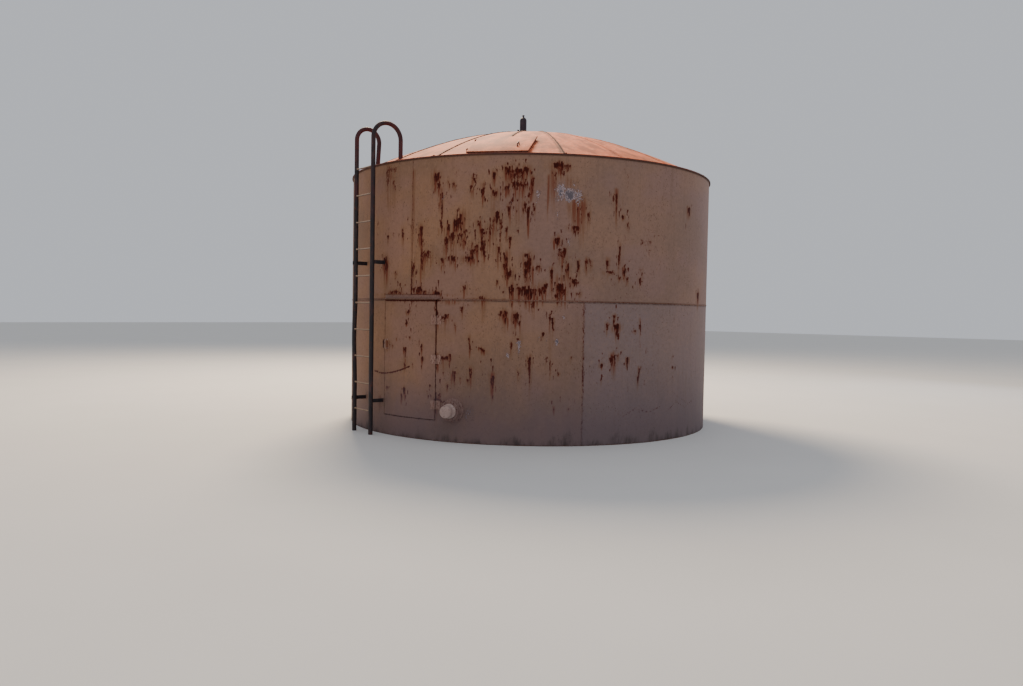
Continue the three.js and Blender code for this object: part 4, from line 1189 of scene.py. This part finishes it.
@dataclass
class DomeRoof:
    """The domed roof: its sheets, the laps between the gores, the crown plate, the vent and the lug."""

    finishes: Finishes
    hatch: "RoofHatch"
    crown: float = 0.330
    crown_lap: float = 0.040
    crown_lift: float = 0.0006
    vent_x: float = -0.090
    vent_y: float = -0.064
    vent_top: float = 3.985
    lug: tuple[float, float] = (21.5, 0.690)
    renewed: range = range(2, 9)
    first_lap_end: float = 1.52
    lap_width: float = 0.030
    lap_sheet: float = 0.0026
    lap_lift: float = 0.0012
    bare_bead: tuple[float, float] = (0.020, 0.014)
    painted_bead: tuple[float, float] = (0.014, 0.008)

    def build(self) -> None:
        """Builds the roof and what stands on it."""
        bm = bmesh.new()
        radii = steps(self.crown - self.crown_lap, ROOF_FOOT, 26) + [ROOF_FOOT + 0.012]
        edge, foot = roof_top(ROOF_EDGE), HEIGHT - ROOF_LIP
        lip = [(ROOF_EDGE - 0.002, edge), (ROOF_EDGE, edge - 0.002), (ROOF_EDGE, foot), (ROOF_EDGE - ROOF_PLATE, foot),
               (ROOF_EDGE - ROOF_PLATE, edge - ROOF_PLATE)]
        outline = [(r, roof_top(r)) for r in radii] + lip + [(r, roof_top(r) - ROOF_PLATE) for r in reversed(radii)]
        turned_shape(bm, outline, 240)
        nodes = [f"roof_gores_{i:02d}" for i in range(1, GORES // 2 + 1)]
        looks = (self.finishes.roof, self.finishes.inside)
        sheets = Piece("roof_gore_sheets", Slot.ROOF, looks, nodes).settle(bm)
        cut_out(sheets, self.hatch.hole())
        for face in sheets.data.polygons:
            face.material_index = int(face.normal.z < 0 and face.center.z > HEIGHT + 0.002
                                      and math.hypot(*face.center[:2]) < RADIUS - PLATE)
        self.laps()
        self.crown_plate()
        self.vent()
        self.lifting_lug()

    def laps(self) -> None:
        """Lays the strip of each lap and the bead along its lower edge."""
        strips, bare, painted = bmesh.new(), bmesh.new(), bmesh.new()
        low = self.crown - 0.01
        for i in range(GORES):
            bearing = GORE_SEAM + 360 / GORES * i
            high = ROOF_EDGE - 0.003 if i else self.first_lap_end
            radii = steps(low, high, max(4, round((high - low) / 0.07)))
            path = [at(r, bearing, roof_top(r) + self.lap_lift) for r in radii]
            sweep(strips, path, self.lap_width, self.lap_sheet, sides=4)
            aside = facing(bearing) @ Vector((self.lap_width / 2, 0, 0))
            radii = steps(low, high, max(4, round((high - low) / 0.03)))
            course = [at(r, bearing, roof_top(r) + self.lap_lift) + aside for r in radii]
            if i in self.renewed:
                sweep(painted, course, *self.painted_bead, sides=6)
            else:
                sweep(bare, course, *self.bare_bead, sides=6)
        wobble(strips.verts, 0.0012, 9)
        wobble(bare.verts, 0.004, 40)
        wobble(painted.verts, 0.003, 40)
        Piece("roof_laps", Slot.ROOF, (self.finishes.roof,)).settle(strips)
        Piece("roof_lap_welds", Slot.ROOF, (self.finishes.roof_beads,), sharp=180).settle(bare)
        Piece("roof_lap_welds_painted", Slot.ROOF, (self.finishes.hatch,), sharp=180).settle(painted)

    def crown_plate(self) -> None:
        """Builds the crown plate and the bead round it."""
        bm = bmesh.new()
        radii = steps(0, self.crown, 8)
        outline = [(r, roof_top(r) + self.crown_lift + ROOF_PLATE) for r in radii]
        outline += [(r, roof_top(r) + self.crown_lift) for r in reversed(radii)]
        turned_shape(bm, outline, 96)
        Piece("crown_plate_disc", Slot.ROOF, (self.finishes.hatch,), ("crown_plate",)).settle(bm)
        ring = [at(self.crown + 0.001, turn, roof_top(self.crown) + 0.002) for turn in steps(0, 360, 150)]
        bead("crown_weld", Slot.ROOF, self.finishes.roof_beads, ring, 0.011, (0.003, 50))

    def vent(self) -> None:
        """Builds the swaged vent pipe, its plug and its weld."""
        place = Matrix.Translation((self.vent_x, self.vent_y, 0))
        foot, top = roof_top(math.hypot(self.vent_x, self.vent_y)) + ROOF_PLATE - 0.002, self.vent_top
        outer = [(0.044, foot), (0.044, top - 0.070), (0.0432, top - 0.064), (0.0395, top - 0.053),
                 (0.032, top - 0.042), (0.022, top - 0.0355), (0.0165, top - 0.033), (0.015, top - 0.031),
                 (0.015, top - 0.0262), (0.014, top - 0.0258)]
        inner = [(0.0102, top - 0.0258), (0.0102, top - 0.036), (0.025, top - 0.046), (0.039, top - 0.07),
                 (0.039, foot)]
        bm = bmesh.new()
        turned_shape(bm, outer + inner, 40, place)
        Piece("vent_pipe_swaged", Slot.IRON, (self.finishes.iron,), ("vent_pipe",)).settle(bm)
        bm = bmesh.new()
        plug = [(0, 0.040), (0.0094, 0.040), (0.0096, 0.0256), (0.011, 0.0254), (0.011, 0.018), (0.0125, 0.0155),
                (0.016, 0.012), (0.0162, 0.0045), (0.0152, 0.0018), (0.012, 0.0001), (0, 0)]
        turned_shape(bm, [(r, top - drop) for r, drop in plug], 24, place)
        Piece("vent_plug_turned", Slot.IRON, (self.finishes.iron,), ("vent_plug",)).settle(bm)
        ring = [place @ at(0.045, turn, foot + 0.002) for turn in steps(0, 360, 30)]
        bead("vent_weld", Slot.IRON, self.finishes.iron, ring, 0.011, (0.002, 60))

    def lifting_lug(self) -> None:
        """Builds the small upright lug."""
        bm = bmesh.new()
        bearing, radius = self.lug
        stand = facing(bearing) @ Matrix.Translation((0, -radius, roof_top(radius)))
        box_between(bm, (-0.012, -0.005, -0.004), (0.012, 0.005, 0.020), 0.002, stand)
        Piece("roof_lug_plate", Slot.IRON, (self.finishes.iron,), ("roof_lug",)).settle(bm)


@dataclass
class RoofHatch:
    """The roof hatch: a flat lid with turned-down edges over a low curb, its hinges and its handle."""

    finishes: Finishes
    bearing: float = 26.0
    radius: float = 1.934
    rise: float = 0.018
    width: float = 0.664
    length: float = 0.680
    sheet: float = 0.005
    lip: float = 0.011
    lip_wall: float = 0.004
    hole_width: float = 0.580
    hole_length: float = 0.600
    hinge_places: tuple[float, float] = (-0.230, 0.196)
    hinge_length: float = 0.034
    eye: float = 0.0070
    eye_bore: float = 0.0047
    eye_offset: float = 0.012
    handle: tuple[float, float] = (0.187, -0.097)
    handle_bar: BentGrip = BentGrip(0.050, 0.028, 0.012, 0, (-0.0004, 0.005))

    def place(self) -> Matrix:
        """Finds where the hatch is on the roof.

        Returns:
            The turn that puts a flat shape there.
        """
        return (facing(self.bearing)
                @ Matrix.Translation((0, -self.radius, roof_top(self.radius) + self.rise))
                @ Matrix.Rotation(roof_slope(self.radius), 4, "X"))

    def hole(self) -> bmesh.types.BMesh:
        """Makes the shape that the hole in the roof is cut with.

        Returns:
            A box through the roof.
        """
        bm = bmesh.new()
        half = (self.hole_width / 2, self.hole_length / 2)
        box_between(bm, (-half[0], -half[1], -0.3), (*half, 0.1), 0, self.place())
        return bm

    def build(self) -> None:
        """Builds the lid and its fittings, and dresses the curb."""
        self.lid()
        place = self.place() @ Matrix.Translation((*self.handle, self.sheet + 2 * SEAT))
        Piece("hatch_handle_bar", Slot.PIPE, (self.finishes.pipe,), ("hatch_handle",), Body.HATCH).settle(
            self.handle_bar.shape(), place)
        # The curb and hinge posts take the darker edge paint: rust-brown, and partly painted shade
        for name in ("hatch_curb", "hatch_hinge_post_1", "hatch_hinge_post_2"):
            dress(name, self.finishes.hatch_edge_rust_and_shade)

    def lid(self) -> None:
        """Builds the lid: a tray with eased edges and the two hinge eyes."""
        bm = bmesh.new()
        half = Vector((self.width / 2, self.length / 2))
        fit = Matrix.Translation((0, 0, SEAT + (self.sheet - self.lip - SEAT) / 2))
        fit @= Matrix.Diagonal((self.width, self.length, self.sheet + self.lip, 1))
        bmesh.ops.create_cube(bm, size=1, matrix=fit)
        under = [face for face in bm.faces if face.normal.z < -0.5]
        bmesh.ops.inset_region(bm, faces=under, thickness=self.lip_wall, use_even_offset=True)
        pocket = bmesh.ops.extrude_discrete_faces(bm, faces=under)["faces"]
        bmesh.ops.translate(bm, vec=(0, 0, self.lip), verts=list({v for f in pocket for v in f.verts}))
        outer = [edge for edge in bm.edges if all(
            min(abs(abs(vert.co.x) - half.x), abs(abs(vert.co.y) - half.y)) < TOUCHING for vert in edge.verts)]
        bmesh.ops.bevel(bm, geom=outer, offset=0.0022, segments=3, profile=0.5, affect="EDGES", material=-1)
        axis = Vector((-half.x - self.eye_offset, 0, SEAT + self.sheet / 2))
        for start in self.hinge_places:
            end = start + self.hinge_length
            eye = [(self.eye_bore, start), (self.eye, start), (self.eye, end), (self.eye_bore, end)]
            turned_shape(bm, eye, 24, Matrix.Translation(axis) @ Matrix.Rotation(-math.pi / 2, 4, "X"))
            box_between(bm, (axis.x + 0.0055, start, axis.z - 0.0025), (-half.x + 0.002, end, axis.z + 0.0025), 0.0006)
        bm.normal_update()
        # Faces that don't face up take the darker edge paint: rust-brown, and partly painted shade on the lid's sides
        for face in bm.faces:
            face.material_index = int(face.normal.z < 0.5)
        looks = (self.finishes.hatch, self.finishes.hatch_edge_rust_and_shade)
        Piece("hatch_lid_tray", Slot.PAINT, looks, ("hatch_lid",), Body.HATCH).settle(bm, self.place())


# ---- The door


@dataclass
class CutDoor:
    """The door: the leaf cut from the shell, its three hinges, its pull, the latch and the drip ledge."""

    finishes: Finishes
    weathering: Weathering
    gap: float = 0.006
    hinge_heights: tuple[float, ...] = (0.343, 0.834, 1.258)
    hinge_width: float = 0.058
    hinge_height: float = 0.092
    hinge_sheet: float = 0.004
    standoff: float = 0.014
    barrel: float = 0.008
    pin: float = 0.0039
    barrel_bore: float = 0.0047
    latch_height: float = 1.022
    pull_bar: BentGrip = BentGrip(0.050, 0.034, 0.014, 0.0006, (0.0003, 0.006))
    pull_inset: float = 0.045
    ledge_start: float = -9.4
    ledge_end: float = 10.7
    ledge_foot: float = 1.530
    ledge_height: float = 0.040
    ledge_depth: float = 0.038
    ledge_sheet: float = 0.005

    def build(self) -> None:
        """Builds the door and its fittings."""
        self.leaf()
        for i, height in enumerate(self.hinge_heights, 1):
            self.hinge_half(i, height, +1)
            self.hinge_half(i, height, -1)
        self.pull()
        self.latch()
        self.ledge()

    def leaf(self) -> None:
        """Rolls the leaf with the shell's own curve."""
        trim = arc(self.gap) - arc(SEAT) / 2
        leaf = Sheet("door_leaf", -JAMB + trim, JAMB - trim, SILL + self.gap, COURSE - self.gap, 0.007)
        looks = (self.finishes.shell, self.finishes.inside)
        door = Piece("door_leaf_rolled", Slot.PAINT, looks, ("door_leaf",), Body.DOOR).settle(TankShell.rolled(leaf))
        self.weathering.paint(door.data)

    def hinge_half(self, number: int, height: float, side: int) -> None:
        """Builds one half of a hinge: its curved leaf, web, knuckle and weld.

        Args:
            number: Which hinge it is.
            height: The height of its lower end.
            side: 1 for the fixed half right of the gap, -1 for the moving one.
        """
        bm = bmesh.new()
        bearing = JAMB - arc(self.gap / 2)
        near = side * (self.gap / 2 + 0.001)
        far = side * (self.gap / 2 + self.hinge_width)
        middle = RADIUS + SEAT + self.hinge_sheet / 2
        centre, tip = height + self.hinge_height / 2, self.hinge_height + height
        sweep(bm, [at(middle, bearing + arc(x), centre) for x in steps(near, far, 8)], self.hinge_sheet,
              self.hinge_height, sides=4)
        low, high = (height, centre - SEAT) if side > 0 else (centre, tip)
        turn = facing(bearing)
        axle = turn @ Matrix.Translation((0, -RADIUS - self.standoff, 0))
        eased = self.barrel - 0.0008
        bore = 0.0005 if side > 0 else self.barrel_bore
        turned_shape(bm, [(eased, low), (self.barrel, low + 0.0008), (self.barrel, high - 0.0008), (eased, high),
                          (bore, high), (bore, low)], 28, axle)
        web = sorted((near, side * (self.barrel - 0.0012)))
        box_between(bm, (web[0], -RADIUS - self.standoff, low), (web[1], -RADIUS - 0.002, high), 0.0006, turn)
        if side > 0:
            foot, head = centre - 0.01, tip - 0.004
            turned_shape(bm, [(0, foot), (self.pin, foot), (self.pin, head), (0, head)], 20, axle)
        edge = RADIUS + SEAT + 0.0015
        outline = [at(edge, bearing + arc(far * 0.25), height)]
        outline += [at(edge, bearing + arc(far), z) for z in steps(height, tip, 6)]
        outline.append(at(edge, bearing + arc(far * 0.25), tip))
        sweep(bm, outline, 0.006, sides=6, up=at(1, bearing, 0))
        name = "fixed" if side > 0 else "moving"
        Piece(f"door_hinge_{name}_{number}_welded", Slot.PAINT, (self.finishes.hinges,),
              (f"door_hinge_{name}_{number}",), Body.TANK if side > 0 else Body.DOOR).settle(bm)

    def pull(self) -> None:
        """Welds the pull upright to the leaf, near its free side."""
        place = facing(-JAMB + arc(self.gap) + arc(self.pull_inset))
        place @= Matrix.Translation((0, -RADIUS, self.latch_height)) @ Matrix.Rotation(math.pi / 2, 4, "X")
        Piece("door_pull_bar", Slot.PAINT, (self.finishes.hinges,), ("door_pull",), Body.DOOR).settle(
            self.pull_bar.shape(), place)

    def latch(self) -> None:
        """Builds the latch bar on its pivot bolt."""
        bm = bmesh.new()
        face = -RADIUS - SEAT
        low, high = self.latch_height - 0.047, self.latch_height + 0.047
        box_between(bm, (-0.011, face - 0.009, low), (0.011, face - 0.002, high), 0.0015)
        bolt = self.latch_height + 0.020
        rod(bm, Vector((0, face, bolt)), Vector((0, face - 0.013, bolt)), 0.007)
        rod(bm, Vector((0, face - 0.009, bolt)), Vector((0, face - 0.0138, bolt)), 0.0095, sides=6)
        place = facing(-JAMB - arc(0.016))
        Piece("latch_bar_bolted", Slot.PIPE, (self.finishes.latch,), ("latch_bar",)).settle(bm, place)

    def ledge(self) -> None:
        """Rolls the drip ledge from angle bar and welds it over the door."""
        low, high, sheet = self.ledge_foot, self.ledge_foot + self.ledge_height, self.ledge_sheet
        inner = RADIUS + 0.0006
        lip = inner + self.ledge_depth
        outline = [(inner, low), (lip - 0.001, low), (lip, low + 0.001), (lip, low + sheet - 0.001),
                   (lip - 0.001, low + sheet), (inner + sheet + 0.003, low + sheet),
                   (inner + sheet, low + sheet + 0.003), (inner + sheet, high - 0.001),
                   (inner + sheet - 0.001, high), (inner, high)]
        bm = rolled_section(outline, self.ledge_start, self.ledge_end, 60)
        Piece("drip_ledge_rolled", Slot.PAINT, (self.finishes.ledge,), ("drip_ledge",)).settle(bm)
        path = [at(inner + 0.0025, bearing, high) for bearing in steps(self.ledge_start, self.ledge_end, 80)]
        bead("drip_ledge_weld", Slot.PAINT, self.finishes.beads, path, 0.009, (0.003, 50))


# ---- The drain


@dataclass
class CappedDrain:
    """The capped drain: a pad on the shell, a flanged neck with its bolts, and a cap."""

    finishes: Finishes
    bore: float = 0.072
    bolts: int = 8
    bolt_circle: float = 0.0955
    bolt: float = 0.0085

    def build(self) -> None:
        """Builds the drain about +Z and turns it outwards."""
        place = facing(DRAIN_BEARING) @ Matrix.Translation((0, -RADIUS, DRAIN_HEIGHT))
        place @= Matrix.Rotation(math.pi / 2, 4, "X")
        bore = self.bore
        bm = bmesh.new()
        pad = [(bore, -0.003), (bore, 0.012), (0.124, 0.012), (0.1255, 0.0112), (0.127, 0.0095), (0.127, -0.003)]
        turned_shape(bm, pad, 72)
        Piece("drain_pad_ring", Slot.PAINT, (self.finishes.fittings,), ("drain_pad",)).settle(bm, place)
        bm = bmesh.new()
        neck = [(bore, 0.0123), (bore, 0.090), (0.1045, 0.090), (0.106, 0.0885), (0.106, 0.0715), (0.1045, 0.070),
                (0.088, 0.070), (0.085, 0.067), (0.085, 0.022), (0.089, 0.015), (0.093, 0.0123)]
        turned_shape(bm, neck, 64)
        for i in range(self.bolts):
            turn = FULL_TURN * (i + 0.5) / self.bolts
            x, y = self.bolt_circle * math.cos(turn), self.bolt_circle * math.sin(turn)
            for low, high in ((0.0895, 0.0975), (0.0625, 0.0705)):
                rod(bm, Vector((x, y, low)), Vector((x, y, high)), self.bolt, sides=6)
        Piece("drain_neck_flanged", Slot.PAINT, (self.finishes.fittings,), ("drain_neck",)).settle(bm, place)
        bm = bmesh.new()
        cap = [(0.058, 0.0903), (0.077, 0.0903), (0.078, 0.0913), (0.078, 0.1065), (0.0765, 0.1085), (0.068, 0.113),
               (0.066, 0.116), (0.066, 0.184), (0.0652, 0.1885), (0.0625, 0.193), (0.058, 0.1968), (0.050, 0.200),
               (0.038, 0.2027), (0.020, 0.2045), (0, 0.205)]
        inner = [(0, 0.196), (0.058, 0.186), (0.058, 0.0903)]
        turned_shape(bm, cap + inner, 64)
        Piece("drain_cap_domed", Slot.PAINT, (self.finishes.drain,), ("drain_cap",)).settle(bm, place)


# ---- The ladder


@dataclass
class HoopLadder:
    """The ladder: two pipes bent over the rim, rungs of round bar between them and flat arms to the shell."""

    finishes: Finishes
    bearing: float = -15.1
    standoff: float = 0.150
    spacing: float = 0.386
    pipe: float = 0.025
    rung: float = 0.008
    first_rung: float = 0.262
    pitch: float = 0.3048
    rungs: int = 10
    bow: tuple[float, float, float] = (0.024, 1.080, 0.520)
    hoops: dict[int, tuple[float, float, float]] = field(
        default_factory=lambda: {-1: (3.486, 0.288, 0.016), 1: (3.496, 0.348, 0.0)})
    arms: dict[str, float] = field(default_factory=lambda: {"lower": 0.380, "upper": 1.938})
    arm_height: float = 0.042
    arm_sheet: float = 0.008
    weld: float = 0.007

    @property
    def front(self) -> float:
        """The pipes' centre line, in front of the axis."""
        return -RADIUS - self.standoff

    def bent(self, height: float) -> float:
        """Finds how far the left pipe stands out of line.

        Args:
            height: The height along the pipe.

        Returns:
            The distance outwards.
        """
        depth, middle, reach = self.bow
        off = abs(height - middle) / reach
        return depth * math.cos(off * math.pi / 2) ** 2 if off < 1 else 0.0

    def build(self) -> None:
        """Builds the ladder."""
        for side, name in ((-1, "left"), (1, "right")):
            self.stile(side, name)
            for level, height in self.arms.items():
                self.arm(side, name, level, height)
        self.all_rungs()

    def stile(self, side: int, name: str) -> None:
        """Bends one pipe over the rim and seats its far end on the roof.

        Args:
            side: -1 for the left pipe, 1 for the right one.
            name: Its side in words.
        """
        bm = bmesh.new()
        top, depth, lean = self.hoops[side]
        x, bend = side * self.spacing / 2, depth / 2
        path = [Vector((x - (self.bent(z) if side < 0 else 0), self.front, z))
                for z in np.linspace(0, top - bend, 40)]
        path += [Vector((x, self.front + bend * (1 - math.cos(a)), top - bend + bend * math.sin(a)))
                 for a in np.linspace(0, math.pi, 33)[1:]]
        end = self.front + depth - lean
        foot = roof_top(math.hypot(x, end)) - 0.004
        path += [Vector((x, end + lean * (1 - t), top - bend + (foot - top + bend) * t))
                 for t in np.linspace(0, 1, 7)[1:]]
        sweep(bm, path, 2 * self.pipe, sides=28, up=(1, 0, 0))
        collar = [Vector((x, end, 0)) + at(self.pipe + 0.001, turn, 0) for turn in steps(0, 360, 24)]
        for point in collar:
            point.z = roof_top(math.hypot(point.x, point.y)) + 0.002
        sweep(bm, collar, 0.008, sides=6)
        Piece(f"ladder_pipe_{name}", Slot.PIPE, (self.finishes.pipe,), (f"ladder_stile_{name}",)).settle(
            bm, facing(self.bearing))

    def arm(self, side: int, name: str, level: str, height: float) -> None:
        """Builds one flat arm from a pipe to the shell, with its welds.

        Args:
            side: -1 for the left pipe, 1 for the right one.
            name: Its side in words.
            level: Which arm it is, in words.
            height: The height of its middle.
        """
        bm = bmesh.new()
        x = side * self.spacing / 2
        if side < 0:
            lap = x - self.pipe - SEAT - self.bent(height)
            low_x, high_x, start = lap - self.arm_sheet, lap, self.front - self.pipe
        else:
            low_x, high_x, start = x - self.arm_sheet / 2, x + self.arm_sheet / 2, self.front + self.pipe - 0.001
        middle = (low_x + high_x) / 2
        end = -math.sqrt(RADIUS ** 2 - middle ** 2) - 0.0008
        low, high = height - self.arm_height / 2, height + self.arm_height / 2
        box_between(bm, (low_x, start, low), (high_x, end, high), 0.001)
        for edge_x in (low_x, high_x):
            y = -math.sqrt(RADIUS ** 2 - edge_x ** 2) - 0.001
            sweep(bm, [Vector((edge_x, y, z)) for z in steps(low, high, 6)], self.weld, sides=6, up=(1, 0, 0))
        # Where the arm laps the left pipe its welds are longer than where it butts against the right one
        if side < 0:
            weld_x, touch, count = high_x, self.front + 0.7 * self.pipe - 0.018, 6
        else:
            weld_x, touch, count = middle, self.front + self.pipe - 0.004, 2
        for edge in (low, high):
            path = [Vector((weld_x, y, edge)) for y in steps(touch, touch + 0.002 * count, count)]
            sweep(bm, path, self.weld, sides=6)
        Piece(f"ladder_flat_{level}_{name}", Slot.PIPE, (self.finishes.pipe,),
              (f"ladder_arm_{level}_{name}",)).settle(bm, facing(self.bearing))

    def all_rungs(self) -> None:
        """Builds the rungs of round bar, each with a weld at its ends."""
        for i in range(self.rungs):
            bm = bmesh.new()
            height = self.first_rung + self.pitch * i
            left = self.pipe - self.spacing / 2 - self.bent(height)
            right = self.spacing / 2 - self.pipe
            path = [Vector((left + (right - left) * t, self.front, height - 0.0015 * math.sin(math.pi * t)))
                    for t in np.linspace(0, 1, 9)]
            sweep(bm, path, 2 * self.rung, sides=16)
            for end, way in ((left, 1), (right, -1)):
                rod(bm, Vector((end - 0.001 * way, self.front, height)),
                    Vector((end + 0.007 * way, self.front, height)), 0.0125, 0.0083)
            Piece(f"ladder_bar_{i + 1:02d}", Slot.RUNG, (self.finishes.rungs,),
                  (f"ladder_rung_{i + 1:02d}",)).settle(bm, facing(self.bearing))


# ---- Studio


@dataclass
class Studio:
    """The camera at the photograph's viewing angle, soft light and a plain pale floor."""

    finishes: Finishes
    look: float = 35.2
    distance: float = 10.732
    eye: float = 1.403
    lens: float = 28.5
    aside: float = 1.15
    pitch: float = 2.19
    roll: float = 0.98
    floor_half: float = 60
    # Each lamp's name, place, width, power in watts and colour
    lamps: tuple[tuple, ...] = (
        ("key_from_behind_left", (-6.5, 5.0, 12.5), 5.0, 4000, "FFE6C8"),
        ("fill_from_the_front", (9.0, -12.5, 8.0), 12.0, 250, "F2F4FF"),
        ("sky_behind_right", (4.5, 10.5, 4.5), 5.0, 110, "DCE6FF"))

    def build(self) -> None:
        """Sets up the camera, the floor and the light."""
        self.camera()
        bm = bmesh.new()
        bmesh.ops.create_grid(bm, x_segments=1, y_segments=1, size=self.floor_half,
                              matrix=Matrix.Translation((0, 0, -0.0005)))
        mesh = bpy.data.meshes.new("studio_floor")
        bm.to_mesh(mesh)
        bm.free()
        floor = bpy.data.objects.new("studio_floor", mesh)
        mesh.materials.append(self.finishes.floor)
        bpy.context.scene.collection.objects.link(floor)
        world = bpy.data.worlds.new("studio")
        bpy.context.scene.world = world
        world.use_nodes = True
        sky = world.node_tree.nodes["Background"]
        sky.inputs["Color"].default_value = linear("E4E8F0")
        sky.inputs["Strength"].default_value = 0.72
        for lamp in self.lamps:
            self.lamp(*lamp)

    @staticmethod
    def lamp(name: str, place: Sequence[float], size: float, power: float, tone: str) -> None:
        """Hangs a large soft lamp that shines on the tank.

        Args:
            name: The lamp's name.
            place: Where it hangs.
            size: Its width.
            power: Its power in watts.
            tone: Its colour in hex.
        """
        light = bpy.data.lights.new(name, "AREA")
        light.shape, light.size, light.energy = "DISK", size, power
        light.color = linear(tone)[:3]
        lamp = bpy.data.objects.new(name, light)
        lamp.location = place
        lamp.rotation_euler = (Vector((0, 0, 1.6)) - Vector(place)).to_track_quat("-Z", "Y").to_euler()
        bpy.context.scene.collection.objects.link(lamp)

    def camera(self) -> None:
        """Places the camera."""
        data = bpy.data.cameras.new("photo_view")
        data.lens, data.sensor_width = self.lens, 36.0
        camera = bpy.data.objects.new("photo_view", data)
        bearing = math.radians(self.look)
        turn, dip, roll = (math.radians(v) for v in (self.aside, self.pitch, self.roll))
        ahead = Matrix.Rotation(turn, 3, "Z") @ Vector((-math.sin(bearing), math.cos(bearing), 0))
        right = Vector((ahead.y, -ahead.x, 0))
        forward = ahead * math.cos(dip) + Vector((0, 0, -math.sin(dip)))
        up = ahead * math.sin(dip) + Vector((0, 0, math.cos(dip)))
        axis_x = right * math.cos(roll) + up * math.sin(roll)
        axis_y = up * math.cos(roll) - right * math.sin(roll)
        stand = Matrix((axis_x, axis_y, -forward)).transposed().to_4x4()
        stand.translation = at(self.distance, self.look, self.eye)
        camera.matrix_world = stand
        bpy.context.scene.collection.objects.link(camera)
        bpy.context.scene.camera = camera


def main() -> None:
    """Builds every sub-assembly in order."""
    logging.basicConfig(level=logging.INFO, format="%(name)s: %(message)s")
    noise.seed_set(WANDER_SEED)
    finishes = Finishes()
    weathering = Weathering()
    hatch = RoofHatch(finishes)
    Studio(finishes).build()
    TankShell(finishes, weathering).build()
    DomeRoof(finishes, hatch).build()
    hatch.build()
    CutDoor(finishes, weathering).build()
    CappedDrain(finishes).build()
    HoopLadder(finishes).build()
    dress("floor_plate", finishes.inside)


if __name__ == "__main__":
    main()
